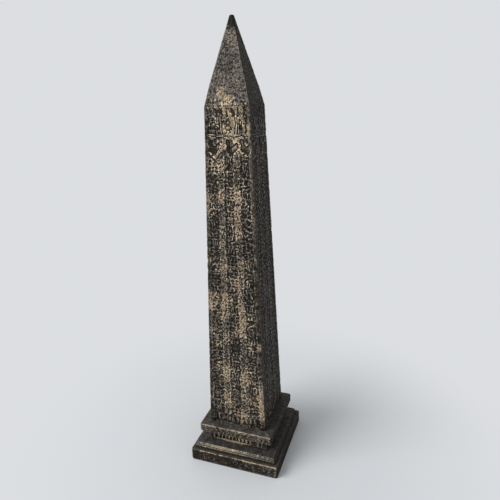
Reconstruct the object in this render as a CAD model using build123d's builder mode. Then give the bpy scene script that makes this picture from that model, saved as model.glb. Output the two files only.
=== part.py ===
"""A small cast obelisk for a desk or shelf.

A tapered four-sided shaft with a blunt pyramid tip stands on a stepped
pedestal: a thick round-edged cap, a recessed neck with a sunken frieze, a
moulded step and a plinth.  A thin felt pad under the plinth rests on the
table.  Each face of the shaft has three sunken inscription columns between
raised bands, a foot strip below them and a scene panel above them.

Millimetres, +Z up, origin at the centre of the pad's underside, front face
towards -Y.  The four sides are alike.  The widths follow from the shaft's
foot outwards and the levels follow from the pad upwards, so every tier keeps
its seat when one size changes.
"""
import os
from functools import partial
from math import atan, cos, sin

from build123d import *

os.makedirs("parts", exist_ok=True)

# ------------------------------------------------------------------- shaft
SHAFT_FOOT_WIDTH = 54.4
SHAFT_TOP_WIDTH = 37.5
SHAFT_HEIGHT = 281.5        # from the cap to the shoulder of the tip
TIP_HEIGHT = 64.8           # from the shoulder to the blunt end
TIP_KNEE_RISE = 14.0        # the tip's sides are a little steeper below this
TIP_KNEE_SWELL = 0.45       # how far each side stands out there
TIP_END_WIDTH = 3.2
TIP_END_CORNER = 1.3
TIP_END_ROUND = 1.1
ARRIS_ROUND = 0.8           # softening of the four long corners

# sunk into each face, bottom up: a foot strip that joins the inscription
# columns, the columns, a raised divider, and the scene panel
COLUMN_COUNT = 3
CARVING_DEPTH = 0.9
FOOT_MARGIN = 2.0           # plain band below the foot strip
FOOT_STRIP = 9.0
BORDER_AT_FOOT = 4.6        # plain strip along each arris
BORDER_AT_TOP = 2.6
BAND_AT_FOOT = 6.6          # raised band between two columns
BAND_AT_TOP = 5.0
PANEL_DIVIDER = 1.4
PANEL_HEIGHT = 20.0
PANEL_TOP_MARGIN = 1.6

# ------------------------------------------------------------ pedestal cap
CAP_LEDGE = 7.7             # plain top left round the shaft's foot
CAP_HEIGHT = 8.2
CAP_CORNER = 2.2
CAP_TOP_EDGE = 1.2
CAP_BOTTOM_EDGE = 1.8

# ----------------------------------------------------------- pedestal neck
CAP_OVERHANG = 6.4          # how far the cap stands out past the neck
NECK_HEIGHT = 10.6
NECK_CORNER = 0.8
FOOT_BAND_HEIGHT = 1.4      # low band that the neck stands on
FOOT_BAND_OUT = 0.8
CORNER_BLOCK = 6.0          # plain block left at each end of a side
SLOT_WIDTH = 1.3            # upright slot beside each corner block
SLOT_DEPTH = 2.4
FRIEZE_DEPTH = 0.9          # sunken field between the slots
FRIEZE_TOP_BAND = 0.9

# ------------------------------------------------------------ moulded step
STEP_LEDGE = 8.6            # flat top left round the neck
STEP_UPPER_BAND = 1.9       # heights of the two sloping bands
STEP_LOWER_BAND = 2.7
STEP_QUIRK = 0.6            # height of the groove between them
STEP_QUIRK_DEPTH = 0.5
STEP_SLOPE = 0.52           # sideways spread for each unit of height
STEP_CORNER = 1.8
STEP_TOP_EDGE = 0.7

# ------------------------------------------------------------------ plinth
PLINTH_LEDGE = 2.4          # flat top left round the step
PLINTH_HEIGHT = 10.7
PLINTH_CORNER = 2.4
PLINTH_TOP_EDGE = 1.0
PLINTH_FOOT_EDGE = 0.4

# ---------------------------------------------------------------- felt pad
FELT_THICKNESS = 1.0
FELT_INSET = 0.3            # the pad stops this far inside the plinth's edge

# ----------------------------------------------------- widths, top to foot
CAP_WIDTH = SHAFT_FOOT_WIDTH + 2 * CAP_LEDGE
NECK_WIDTH = CAP_WIDTH - 2 * CAP_OVERHANG
STEP_TOP_WIDTH = NECK_WIDTH + 2 * STEP_LEDGE
STEP_HEIGHT = STEP_LOWER_BAND + STEP_QUIRK + STEP_UPPER_BAND
STEP_FOOT_WIDTH = STEP_TOP_WIDTH + 2 * STEP_SLOPE * STEP_HEIGHT
PLINTH_WIDTH = STEP_FOOT_WIDTH + 2 * PLINTH_LEDGE
FELT_WIDTH = PLINTH_WIDTH - 2 * FELT_INSET

# ------------------------------------------------------- levels, bottom up
PLINTH_Z = FELT_THICKNESS
STEP_Z = PLINTH_Z + PLINTH_HEIGHT
QUIRK_Z = STEP_Z + STEP_LOWER_BAND
UPPER_BAND_Z = QUIRK_Z + STEP_QUIRK
NECK_Z = STEP_Z + STEP_HEIGHT
CAP_Z = NECK_Z + NECK_HEIGHT
SHAFT_Z = CAP_Z + CAP_HEIGHT
SHOULDER_Z = SHAFT_Z + SHAFT_HEIGHT
END_Z = SHOULDER_Z + TIP_HEIGHT

SIDES = range(4)            # quarter turns: front, right, back, left


def square_section(width, corner, level):
    """One level section of a square piece, with rounded corners."""
    with BuildSketch(Plane.XY.offset(level)) as section:
        RectangleRounded(width, width, corner)
    return section.sketch


def side_plane(half_width, level, lean, side):
    """The plane of one side: x across it, y up it, z straight out of it."""
    middle = Vector(0, -half_width, level).rotate(Axis.Z, 90 * side)
    across = Vector(1, 0, 0).rotate(Axis.Z, 90 * side)
    outward = Vector(0, -cos(lean), sin(lean)).rotate(Axis.Z, 90 * side)
    return Plane(origin=middle, x_dir=across, z_dir=outward)


def finish(piece, name):
    """Label a finished piece and write it to its own file."""
    piece.part.label = name
    export_step(piece.part, f"parts/{name}.step")


# ==================================================================== shaft
SHAFT_LEAN = atan((SHAFT_FOOT_WIDTH - SHAFT_TOP_WIDTH) / 2 / SHAFT_HEIGHT)
SLOPE_LENGTH = SHAFT_HEIGHT / cos(SHAFT_LEAN)
COLUMNS_FOOT = FOOT_MARGIN + FOOT_STRIP
PANEL_TOP = SLOPE_LENGTH - PANEL_TOP_MARGIN
PANEL_FOOT = PANEL_TOP - PANEL_HEIGHT
COLUMNS_TOP = PANEL_FOOT - PANEL_DIVIDER

KNEE_Z = SHOULDER_Z + TIP_KNEE_RISE
TIP_TAPER = (SHAFT_TOP_WIDTH - TIP_END_WIDTH) / TIP_HEIGHT
TIP_KNEE_WIDTH = SHAFT_TOP_WIDTH - TIP_TAPER * TIP_KNEE_RISE + 2 * TIP_KNEE_SWELL


def between(at_foot, at_top, up):
    """A size that changes evenly up the face, at a distance up the slope."""
    return at_foot + (at_top - at_foot) * up / SLOPE_LENGTH


def field_edges(up):
    """Left and right edge of the carved field inside the arris borders."""
    half_width = between(SHAFT_FOOT_WIDTH, SHAFT_TOP_WIDTH, up) / 2
    half_field = half_width - between(BORDER_AT_FOOT, BORDER_AT_TOP, up)
    return -half_field, half_field


def column_edges(column, up):
    """Left and right edge of one inscription column."""
    left, right = field_edges(up)
    band = between(BAND_AT_FOOT, BAND_AT_TOP, up)
    width = (right - left - band * (COLUMN_COUNT - 1)) / COLUMN_COUNT
    start = left + column * (width + band)
    return start, start + width


def tapered_outline(edges, low, high):
    """The four corners of a sunken field that follows the face's taper."""
    left_low, right_low = edges(low)
    left_high, right_high = edges(high)
    return [(left_low, low), (right_low, low), (right_high, high), (left_high, high)]


with BuildPart() as shaft:
    loft([square_section(SHAFT_FOOT_WIDTH, ARRIS_ROUND, SHAFT_Z),
          square_section(SHAFT_TOP_WIDTH, ARRIS_ROUND, SHOULDER_Z)], ruled=True)
    loft([square_section(SHAFT_TOP_WIDTH, ARRIS_ROUND, SHOULDER_Z),
          square_section(TIP_KNEE_WIDTH, ARRIS_ROUND, KNEE_Z)], ruled=True)
    loft([square_section(TIP_KNEE_WIDTH, ARRIS_ROUND, KNEE_Z),
          square_section(TIP_END_WIDTH, TIP_END_CORNER, END_Z)], ruled=True)
    fillet(shaft.faces().sort_by(Axis.Z)[-1].edges(), radius=TIP_END_ROUND)
    for side in SIDES:
        with BuildSketch(side_plane(SHAFT_FOOT_WIDTH / 2, SHAFT_Z, SHAFT_LEAN, side)):
            Polygon(*tapered_outline(field_edges, FOOT_MARGIN, COLUMNS_FOOT), align=None)
            Polygon(*tapered_outline(field_edges, PANEL_FOOT, PANEL_TOP), align=None)
            for column in range(COLUMN_COUNT):
                edges = partial(column_edges, column)
                Polygon(*tapered_outline(edges, COLUMNS_FOOT, COLUMNS_TOP), align=None)
        extrude(amount=-CARVING_DEPTH, mode=Mode.SUBTRACT)
finish(shaft, "shaft")

# ============================================================= pedestal cap
with BuildPart() as cap:
    with BuildSketch(Plane.XY.offset(CAP_Z)):
        RectangleRounded(CAP_WIDTH, CAP_WIDTH, CAP_CORNER)
    extrude(amount=CAP_HEIGHT)
    fillet(cap.faces().sort_by(Axis.Z)[-1].edges(), radius=CAP_TOP_EDGE)
    fillet(cap.faces().sort_by(Axis.Z)[0].edges(), radius=CAP_BOTTOM_EDGE)
finish(cap, "pedestal_cap")

# ============================================================ pedestal neck
FRIEZE_WIDTH = NECK_WIDTH - 2 * CORNER_BLOCK
FRIEZE_HEIGHT = NECK_HEIGHT - FOOT_BAND_HEIGHT - FRIEZE_TOP_BAND
FRIEZE_MIDDLE = FOOT_BAND_HEIGHT + FRIEZE_HEIGHT / 2
SLOT_OFFSET = (FRIEZE_WIDTH - SLOT_WIDTH) / 2

with BuildPart() as neck:
    with BuildSketch(Plane.XY.offset(NECK_Z)):
        RectangleRounded(NECK_WIDTH, NECK_WIDTH, NECK_CORNER)
    extrude(amount=NECK_HEIGHT)
    for side in SIDES:
        with BuildSketch(side_plane(NECK_WIDTH / 2, NECK_Z, 0, side)):
            with Locations((0, FRIEZE_MIDDLE)):
                Rectangle(FRIEZE_WIDTH, FRIEZE_HEIGHT)
        extrude(amount=-FRIEZE_DEPTH, mode=Mode.SUBTRACT)
        with BuildSketch(side_plane(NECK_WIDTH / 2, NECK_Z, 0, side)):
            with Locations((-SLOT_OFFSET, FRIEZE_MIDDLE), (SLOT_OFFSET, FRIEZE_MIDDLE)):
                Rectangle(SLOT_WIDTH, FRIEZE_HEIGHT)
        extrude(amount=-SLOT_DEPTH, mode=Mode.SUBTRACT)
    with BuildSketch(Plane.XY.offset(NECK_Z)):
        foot_band_width = NECK_WIDTH + 2 * FOOT_BAND_OUT
        RectangleRounded(foot_band_width, foot_band_width, NECK_CORNER + FOOT_BAND_OUT)
    extrude(amount=FOOT_BAND_HEIGHT)
finish(neck, "pedestal_neck")


# ============================================================= moulded step
def step_width(level):
    """Width of the step's sloping outline at a level."""
    return STEP_TOP_WIDTH + 2 * STEP_SLOPE * (NECK_Z - level)


with BuildPart() as step:
    loft([square_section(step_width(STEP_Z), STEP_CORNER, STEP_Z),
          square_section(step_width(QUIRK_Z), STEP_CORNER, QUIRK_Z)], ruled=True)
    with BuildSketch(Plane.XY.offset(QUIRK_Z)):
        quirk_width = step_width(UPPER_BAND_Z) - 2 * STEP_QUIRK_DEPTH
        RectangleRounded(quirk_width, quirk_width, STEP_CORNER)
    extrude(amount=STEP_QUIRK)
    loft([square_section(step_width(UPPER_BAND_Z), STEP_CORNER, UPPER_BAND_Z),
          square_section(step_width(NECK_Z), STEP_CORNER, NECK_Z)], ruled=True)
    fillet(step.faces().sort_by(Axis.Z)[-1].edges(), radius=STEP_TOP_EDGE)
finish(step, "pedestal_step")

# =================================================================== plinth
with BuildPart() as plinth:
    with BuildSketch(Plane.XY.offset(PLINTH_Z)):
        RectangleRounded(PLINTH_WIDTH, PLINTH_WIDTH, PLINTH_CORNER)
    extrude(amount=PLINTH_HEIGHT)
    fillet(plinth.faces().sort_by(Axis.Z)[-1].edges(), radius=PLINTH_TOP_EDGE)
    fillet(plinth.faces().sort_by(Axis.Z)[0].edges(), radius=PLINTH_FOOT_EDGE)
finish(plinth, "pedestal_plinth")

# ================================================================= felt pad
with BuildPart() as felt_pad:
    with BuildSketch():
        RectangleRounded(FELT_WIDTH, FELT_WIDTH, PLINTH_CORNER - FELT_INSET)
    extrude(amount=FELT_THICKNESS)
finish(felt_pad, "felt_pad")
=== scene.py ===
"""Looks of the small cast obelisk: carved faces, worn gold over black, felt foot.

Work is in millimetres and turned into metres when a mesh is made.  Each face
of the shaft is one closed wedge that reaches the axis, carved from a map of
heights; the pedestal's tiers are square rings swept along their own outline.
"""

from math import asin, atan, ceil, cos, pi, radians, sin

import bpy
import numpy as np
from mathutils import Matrix, Vector


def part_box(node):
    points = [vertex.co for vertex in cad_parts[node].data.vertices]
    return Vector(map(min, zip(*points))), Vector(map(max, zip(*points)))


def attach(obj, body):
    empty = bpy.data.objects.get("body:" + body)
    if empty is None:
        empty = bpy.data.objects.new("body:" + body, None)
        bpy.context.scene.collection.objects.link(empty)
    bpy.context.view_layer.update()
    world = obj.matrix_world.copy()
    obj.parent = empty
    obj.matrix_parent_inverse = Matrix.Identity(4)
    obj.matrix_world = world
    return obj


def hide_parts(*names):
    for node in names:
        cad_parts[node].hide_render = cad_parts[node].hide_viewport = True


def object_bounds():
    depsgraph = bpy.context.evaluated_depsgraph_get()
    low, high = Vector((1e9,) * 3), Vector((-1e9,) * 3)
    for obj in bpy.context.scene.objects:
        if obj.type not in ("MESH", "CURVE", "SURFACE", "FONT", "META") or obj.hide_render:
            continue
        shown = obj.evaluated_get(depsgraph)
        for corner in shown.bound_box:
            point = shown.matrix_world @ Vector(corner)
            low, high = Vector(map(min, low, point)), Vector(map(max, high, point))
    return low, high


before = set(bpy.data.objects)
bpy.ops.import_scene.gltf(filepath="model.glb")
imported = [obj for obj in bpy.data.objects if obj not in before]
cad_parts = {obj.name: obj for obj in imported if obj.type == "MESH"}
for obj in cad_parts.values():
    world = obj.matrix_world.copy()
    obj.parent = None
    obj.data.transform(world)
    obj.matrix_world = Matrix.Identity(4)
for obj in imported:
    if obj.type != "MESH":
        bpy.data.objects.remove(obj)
cad_low, cad_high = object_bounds()

MM = 0.001
SIDES = range(4)                # front, right, back, left: quarter turns
SIDE_NAMES = ("front", "right", "back", "left")
UV_MAP = "OFBake"


def node_box(name):
    """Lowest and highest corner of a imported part, in millimetres."""
    low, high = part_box(name)
    return np.array(low) / MM, np.array(high) / MM


def tier_sizes(name):
    """Half width, bottom and top of a square part, in millimetres."""
    low, high = node_box(name)
    return high[0], low[2], high[2]


def put_in_scene(name, data):
    """A new object for a mesh, a lamp or a camera."""
    made = bpy.data.objects.new(name, data)
    bpy.context.scene.collection.objects.link(made)
    return made


def direction(azimuth, elevation):
    """Out from the object, in radians: azimuth 0 is the front and 90 degrees the right."""
    return Vector((sin(azimuth) * cos(elevation), -cos(azimuth) * cos(elevation), sin(elevation)))


# ============================================================ sizes, in mm
SHAFT_LOW, SHAFT_HIGH = node_box("shaft")
FOOT_HALF = SHAFT_HIGH[0]       # half of the shaft's width at its foot
SHAFT_Z = SHAFT_LOW[2]
END_Z = SHAFT_HIGH[2]
TIP_HEIGHT = 64.8
SHOULDER_Z = END_Z - TIP_HEIGHT
SHOULDER_HALF = 18.75
KNEE_RISE = 14.0                # the tip's sides are steeper below its knee
KNEE_HALF = 15.5
TIP_END_HALF = 1.6
TIP_END_CORNER = 1.3            # rounding of the end's four corners
TIP_END_ROUND = 1.1             # rounding over its edge
ARRIS_ROUND = 0.8               # softening of the four long corners

COLUMN_COUNT = 3
CARVING_DEPTH = 0.9             # down to the bottom of the carved lines
FOOT_MARGIN = 2.0               # plain band below the foot strip
FOOT_STRIP = 9.0
BORDER = (4.6, 2.6)             # plain strip along an arris, at the foot and at the shoulder
BAND = (6.6, 5.0)               # raised band between two columns, likewise
PANEL_DIVIDER = 1.4
PANEL_HEIGHT = 20.0
PANEL_TOP_MARGIN = 1.6

LEAN = atan((FOOT_HALF - SHOULDER_HALF) / (SHOULDER_Z - SHAFT_Z))
TIP_LEAN = atan((SHOULDER_HALF - TIP_END_HALF) / TIP_HEIGHT)
SLOPE = (SHOULDER_Z - SHAFT_Z) / cos(LEAN)
TIP_SLOPE = TIP_HEIGHT / cos(TIP_LEAN)
COLUMNS_FOOT = FOOT_MARGIN + FOOT_STRIP
PANEL_TOP = SLOPE - PANEL_TOP_MARGIN
PANEL_FOOT = PANEL_TOP - PANEL_HEIGHT
COLUMNS_TOP = PANEL_FOOT - PANEL_DIVIDER

RASTER = 0.12                   # fineness of the maps that carving is drawn on
CELL_UP = 0.45                  # mesh cells on the shaft
CELL_ACROSS = (0.38, 0.5, 0.5, 0.5)   # front, right, back, left
WALL = 0.11                     # half width of the steep side of a sunken field


def at_height(foot_and_top, up):
    """A size that changes evenly up a face, at a distance up the slope."""
    foot, top = foot_and_top
    return foot + (top - foot) * up / SLOPE


def half_width(up):
    """From the middle of a face to its arris."""
    return at_height((FOOT_HALF, SHOULDER_HALF), up)


def half_field(up):
    """From the middle of a face to the edge of what is carved on it."""
    return half_width(up) - at_height(BORDER, up)


def column_edges(column, up):
    """Left and right edge of one sunken column."""
    half, band = half_field(up), at_height(BAND, up)
    width = (2 * half - band * (COLUMN_COUNT - 1)) / COLUMN_COUNT
    left = -half + column * (width + band)
    return left, left + width


# ================================================================== noise
def soft_step(value, low, high):
    """0 below low, 1 above high, and a smooth rise between."""
    share = np.clip((value - low) / (high - low), 0, 1)
    return share * share * (3 - 2 * share)


LUMP_GAIN = 1.7                 # brings the values of lumps to about -1 to 1


def lumps(points, size, seed):
    """Smooth random values; one lump is about size across, and seed picks the pattern."""
    table = np.random.default_rng(seed).normal(size=(4096, 3))
    table /= np.linalg.norm(table, axis=1, keepdims=True)
    spot = np.asarray(points, float) / size
    base = np.floor(spot).astype(np.int64)
    inside = spot - base
    ease = inside ** 3 * (inside * (inside * 6 - 15) + 10)
    total = np.zeros(spot.shape[:-1])
    for corner in range(8):
        step = np.array([corner & 1, corner >> 1 & 1, corner >> 2])
        x, y, z = np.moveaxis(base + step, -1, 0)
        slope = table[(x * 73856093 ^ y * 19349663 ^ z * 83492791) & 4095]
        weight = np.prod(np.where(step, ease, 1 - ease), axis=-1)
        total += weight * np.sum(slope * (inside - step), axis=-1)
    return total * LUMP_GAIN


def blurred(values, reach):
    """A grid of values, each averaged with its neighbours up to reach cells off."""
    for axis in (0, 1):
        for _ in range(2):
            edge = [(0, 0), (0, 0)]
            edge[axis] = (reach + 1, reach)
            total = np.cumsum(np.pad(values, edge, mode="edge"), axis=axis)
            count = values.shape[axis]
            high = np.take(total, range(2 * reach + 1, 2 * reach + 1 + count), axis=axis)
            low = np.take(total, range(count), axis=axis)
            values = (high - low) / (2 * reach + 1)
    return values


# ======================================================== drawing in relief
def smooth_path(points, closed=False, steps=5):
    """Points along a smooth curve through the given ones."""
    knots = np.asarray(points, float)
    if closed:
        knots = np.concatenate([knots[-1:], knots, knots[:2]])
    else:
        before, after = 2 * knots[0] - knots[1], 2 * knots[-1] - knots[-2]
        knots = np.concatenate([[before], knots, [after]])
    share = np.linspace(0, 1, steps, endpoint=False)[:, None]
    path = []
    for a, b, c, d in zip(knots, knots[1:], knots[2:], knots[3:]):
        path.append(0.5 * (2 * b + (c - a) * share + (2 * a - 5 * b + 4 * c - d) * share ** 2
                           + (3 * b - a - 3 * c + d) * share ** 3))
    if not closed:
        path.append(knots[-2:-1])
    return np.concatenate(path)


def distance_to(x, y, path):
    """How far each place is from a path of straight pieces."""
    nearest = np.full(np.broadcast(x, y).shape, 1e9)
    for (ax, ay), (bx, by) in zip(path, path[1:]):
        dx, dy = bx - ax, by - ay
        along = ((x - ax) * dx + (y - ay) * dy) / max(dx * dx + dy * dy, 1e-9)
        along = np.clip(along, 0, 1)
        nearest = np.minimum(nearest, np.hypot(x - ax - along * dx, y - ay - along * dy))
    return nearest


def inside_of(x, y, outline):
    """Whether each place lies inside a closed outline."""
    within = np.zeros(np.broadcast(x, y).shape, bool)
    for (ax, ay), (bx, by) in zip(outline, np.roll(outline, -1, axis=0)):
        if ay != by:
            crosses = (ay > y) != (by > y)
            within ^= crosses & (x < ax + (y - ay) * (bx - ax) / (by - ay))
    return within


class CarvedField:
    """Depths, in mm, of what is cut into a flat field, measured across it and up it."""

    def __init__(self, left, low, right, high):
        self.left, self.low = left, low
        rows = ceil((high - low) / RASTER) + 2
        self.depth = np.zeros((rows, ceil((right - left) / RASTER) + 2))

    def patch(self, path, margin):
        """The part of the map round a path, with its coordinates."""
        start = (path.min(0) - margin - (self.left, self.low)) / RASTER
        stop = (path.max(0) + margin - (self.left, self.low)) / RASTER + 2
        (c0, r0), (c1, r1) = np.maximum(start.astype(int), 0), np.maximum(stop.astype(int), 0)
        rows, cols = self.depth[r0:r1, c0:c1].shape
        x = self.left + RASTER * (c0 + np.arange(cols))[None, :]
        y = self.low + RASTER * (r0 + np.arange(rows))[:, None]
        return (slice(r0, r1), slice(c0, c1)), x, y

    def cut(self, path, width, depth, filled=False, edge=0.36):
        """Cuts a line, or sinks all that an outline holds, where nothing deeper is cut."""
        path = np.asarray(path, float)
        area, x, y = self.patch(path, width + edge)
        inward = width / 2 - distance_to(x, y, path)
        if filled:
            inward = np.maximum(inward, np.where(inside_of(x, y, path), edge, -edge))
        share = soft_step(inward, -edge / 2, edge / 2)
        self.depth[area] = np.maximum(self.depth[area], depth * share)

    def sample(self, across, up):
        """Depths at places between the map's points."""
        x = np.clip((across - self.left) / RASTER, 0, self.depth.shape[1] - 1.001)
        y = np.clip((up - self.low) / RASTER, 0, self.depth.shape[0] - 1.001)
        col, row = x.astype(int), y.astype(int)
        x, y, grid = x - col, y - row, self.depth
        below = grid[row, col] * (1 - x) + grid[row, col + 1] * x
        above = grid[row + 1, col] * (1 - x) + grid[row + 1, col + 1] * x
        return below * (1 - y) + above * y


# Each sign is a few strokes in a box one wide and one high.  "line" and "loop"
# are smooth, "bar" is straight, "form" and "block" are filled, "dot" is round.
def lens(low, high):
    """An outline with pointed ends, like an eye or a mouth."""
    return ((0, 0.5), (0.25, high * 0.86 + 0.07), (0.5, high), (0.75, high * 0.86 + 0.07),
            (1, 0.5), (0.75, low * 0.86 + 0.07), (0.5, low), (0.25, low * 0.86 + 0.07))


def zigzag(count):
    """A line of ripples."""
    return tuple((i / (2 * count), i % 2) for i in range(2 * count + 1))


TALL_SIGNS = {
    "reed": [("form", (.5, 1), (.85, .82), (.74, .45), (.6, .2), (.42, .2), (.28, .5), (.3, .85)),
             ("bar", (.5, .2), (.5, 0))],
    "crook": [("line", (.5, 0), (.5, .65), (.4, .88), (.62, 1), (.9, .86), (.82, .68))],
    "loop_cross": [("loop", (.5, .48), (.8, .76), (.5, 1), (.2, .76)), ("bar", (.5, .5), (.5, 0)),
                   ("bar", (.08, .44), (.92, .44))],
    "pillar": [("block", (.3, 0), (.7, 0), (.6, .5), (.4, .5)), ("bar", (.1, .58), (.9, .58)),
               ("bar", (.1, .78), (.9, .78)), ("bar", (.15, .97), (.85, .97)),
               ("bar", (.5, .5), (.5, 1))],
    "feather": [("form", (.3, 0), (.55, .02), (.6, .55), (.95, .82), (.62, 1), (.22, .86))],
    "animal_staff": [("bar", (.45, 0), (.45, .9)), ("line", (.05, .72), (.4, .95), (.95, .9)),
                     ("bar", (.2, 0), (.45, .1), (.7, 0))],
    "pennant": [("bar", (.3, 0), (.3, 1)), ("block", (.3, 1), (1, .86), (.3, .7))],
    "vase": [("form", (.3, 1), (.7, 1), (.62, .8), (.9, .55), (.7, .1), (.5, 0), (.3, .1),
              (.1, .55), (.38, .8))],
    "plant": [("bar", (.5, 0), (.5, 1)), ("line", (.5, .3), (.15, .5), (.05, .8)),
              ("line", (.5, .3), (.85, .5), (.95, .8)), ("bar", (.15, 0), (.85, 0))],
    "twist": [("line", (.5, 0), (.85, .2), (.2, .42), (.8, .64), (.2, .82), (.5, 1))],
    "leg": [("block", (.35, 1), (.7, 1), (.7, .2), (1, .16), (1, 0), (.35, 0))],
    "plumb": [("bar", (.5, 1), (.5, .4)), ("form", (.5, .45), (.9, .2), (.5, 0), (.1, .2))],
    "lotus": [("bar", (.5, 0), (.5, .6)), ("form", (.5, .5), (.95, 1), (.5, .82), (.05, 1))],
}
WIDE_SIGNS = {
    "water": [("bar", *zigzag(5))],
    "mouth": [("loop", *lens(.1, .9))],
    "basket": [("form", (0, .95), (.5, .95), (1, .95), (.86, .35), (.5, .02), (.14, .35))],
    "eye": [("loop", *lens(.0, .62)), ("dot", .5, .32, .2), ("line", (.0, .8), (.5, 1), (1, .78))],
    "snake": [("line", (0, .2), (.2, .5), (.42, .12), (.64, .5), (.82, .3), (.9, .75), (1, 1))],
    "forearm": [("bar", (0, .3), (.7, .3)), ("line", (0, .3), (.02, .7), (.14, .95)),
                ("form", (.66, .1), (.98, .35), (.98, .8), (.8, .62), (.66, .5))],
    "boat": [("line", (0, .95), (.2, .3), (.5, .1), (.8, .3), (1, .95)),
             ("block", (.38, .35), (.62, .35), (.62, .9), (.38, .9))],
    "ground": [("bar", (0, .75), (1, .75)), ("dot", .2, .15, .16), ("dot", .5, .15, .16),
               ("dot", .8, .15, .16)],
    "lizard": [("line", (0, .1), (.15, .5), (.4, .6), (.7, .5), (1, .8)), ("line", (.3, .6), (.2, 1)),
               ("line", (.6, .55), (.7, .1)), ("line", (.35, .55), (.3, .1))],
    "curl": [("line", (0, .4), (.2, 1), (.45, .5), (.3, .1), (.6, 0), (.8, .6), (1, .9))],
    "oval_ring": [("loop", (.08, .5), (.3, .95), (.7, .95), (.92, .5), (.7, .05), (.3, .05)),
                  ("bar", (1, 0), (1, 1)), ("dot", .38, .5, .16), ("dot", .66, .5, .16)],
}
SMALL_SIGNS = {
    "loaf": [("form", (0, .1), (.5, .1), (1, .1), (.86, .62), (.5, .9), (.14, .62))],
    "disc": [("dot", .5, .5, .46)],
    "ring": [("loop", (0, .5), (.5, 1), (1, .5), (.5, 0))],
    "hook": [("line", (.1, 0), (0, .5), (.4, 1), (.9, .8), (.7, .4))],
    "wing": [("form", (0, .9), (.5, .7), (1, .1), (.7, .0), (.3, .2)), ("cut", (.2, .7), (.8, .2))],
    "coil": [("line", (.9, .1), (.3, .0), (.0, .45), (.35, .95), (.8, .7), (.6, .4))],
    "diamond": [("bar", (.5, 0), (1, .5), (.5, 1), (0, .5), (.5, 0))],
    "star": [("bar", (.5, .5), (.5, 1)), ("bar", (.5, .5), (1, .65)), ("bar", (.5, .5), (.82, 0)),
             ("bar", (.5, .5), (.18, 0)), ("bar", (.5, .5), (0, .65))],
    "cross": [("bar", (0, 0), (1, 1)), ("bar", (0, 1), (1, 0))],
    "hill": [("form", (0, 0), (.5, .0), (1, 0), (.8, .8), (.5, .3), (.2, .8))],
    "fork": [("bar", (.5, 0), (.5, .5), (.1, 1)), ("bar", (.5, .5), (.9, 1))],
}
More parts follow.
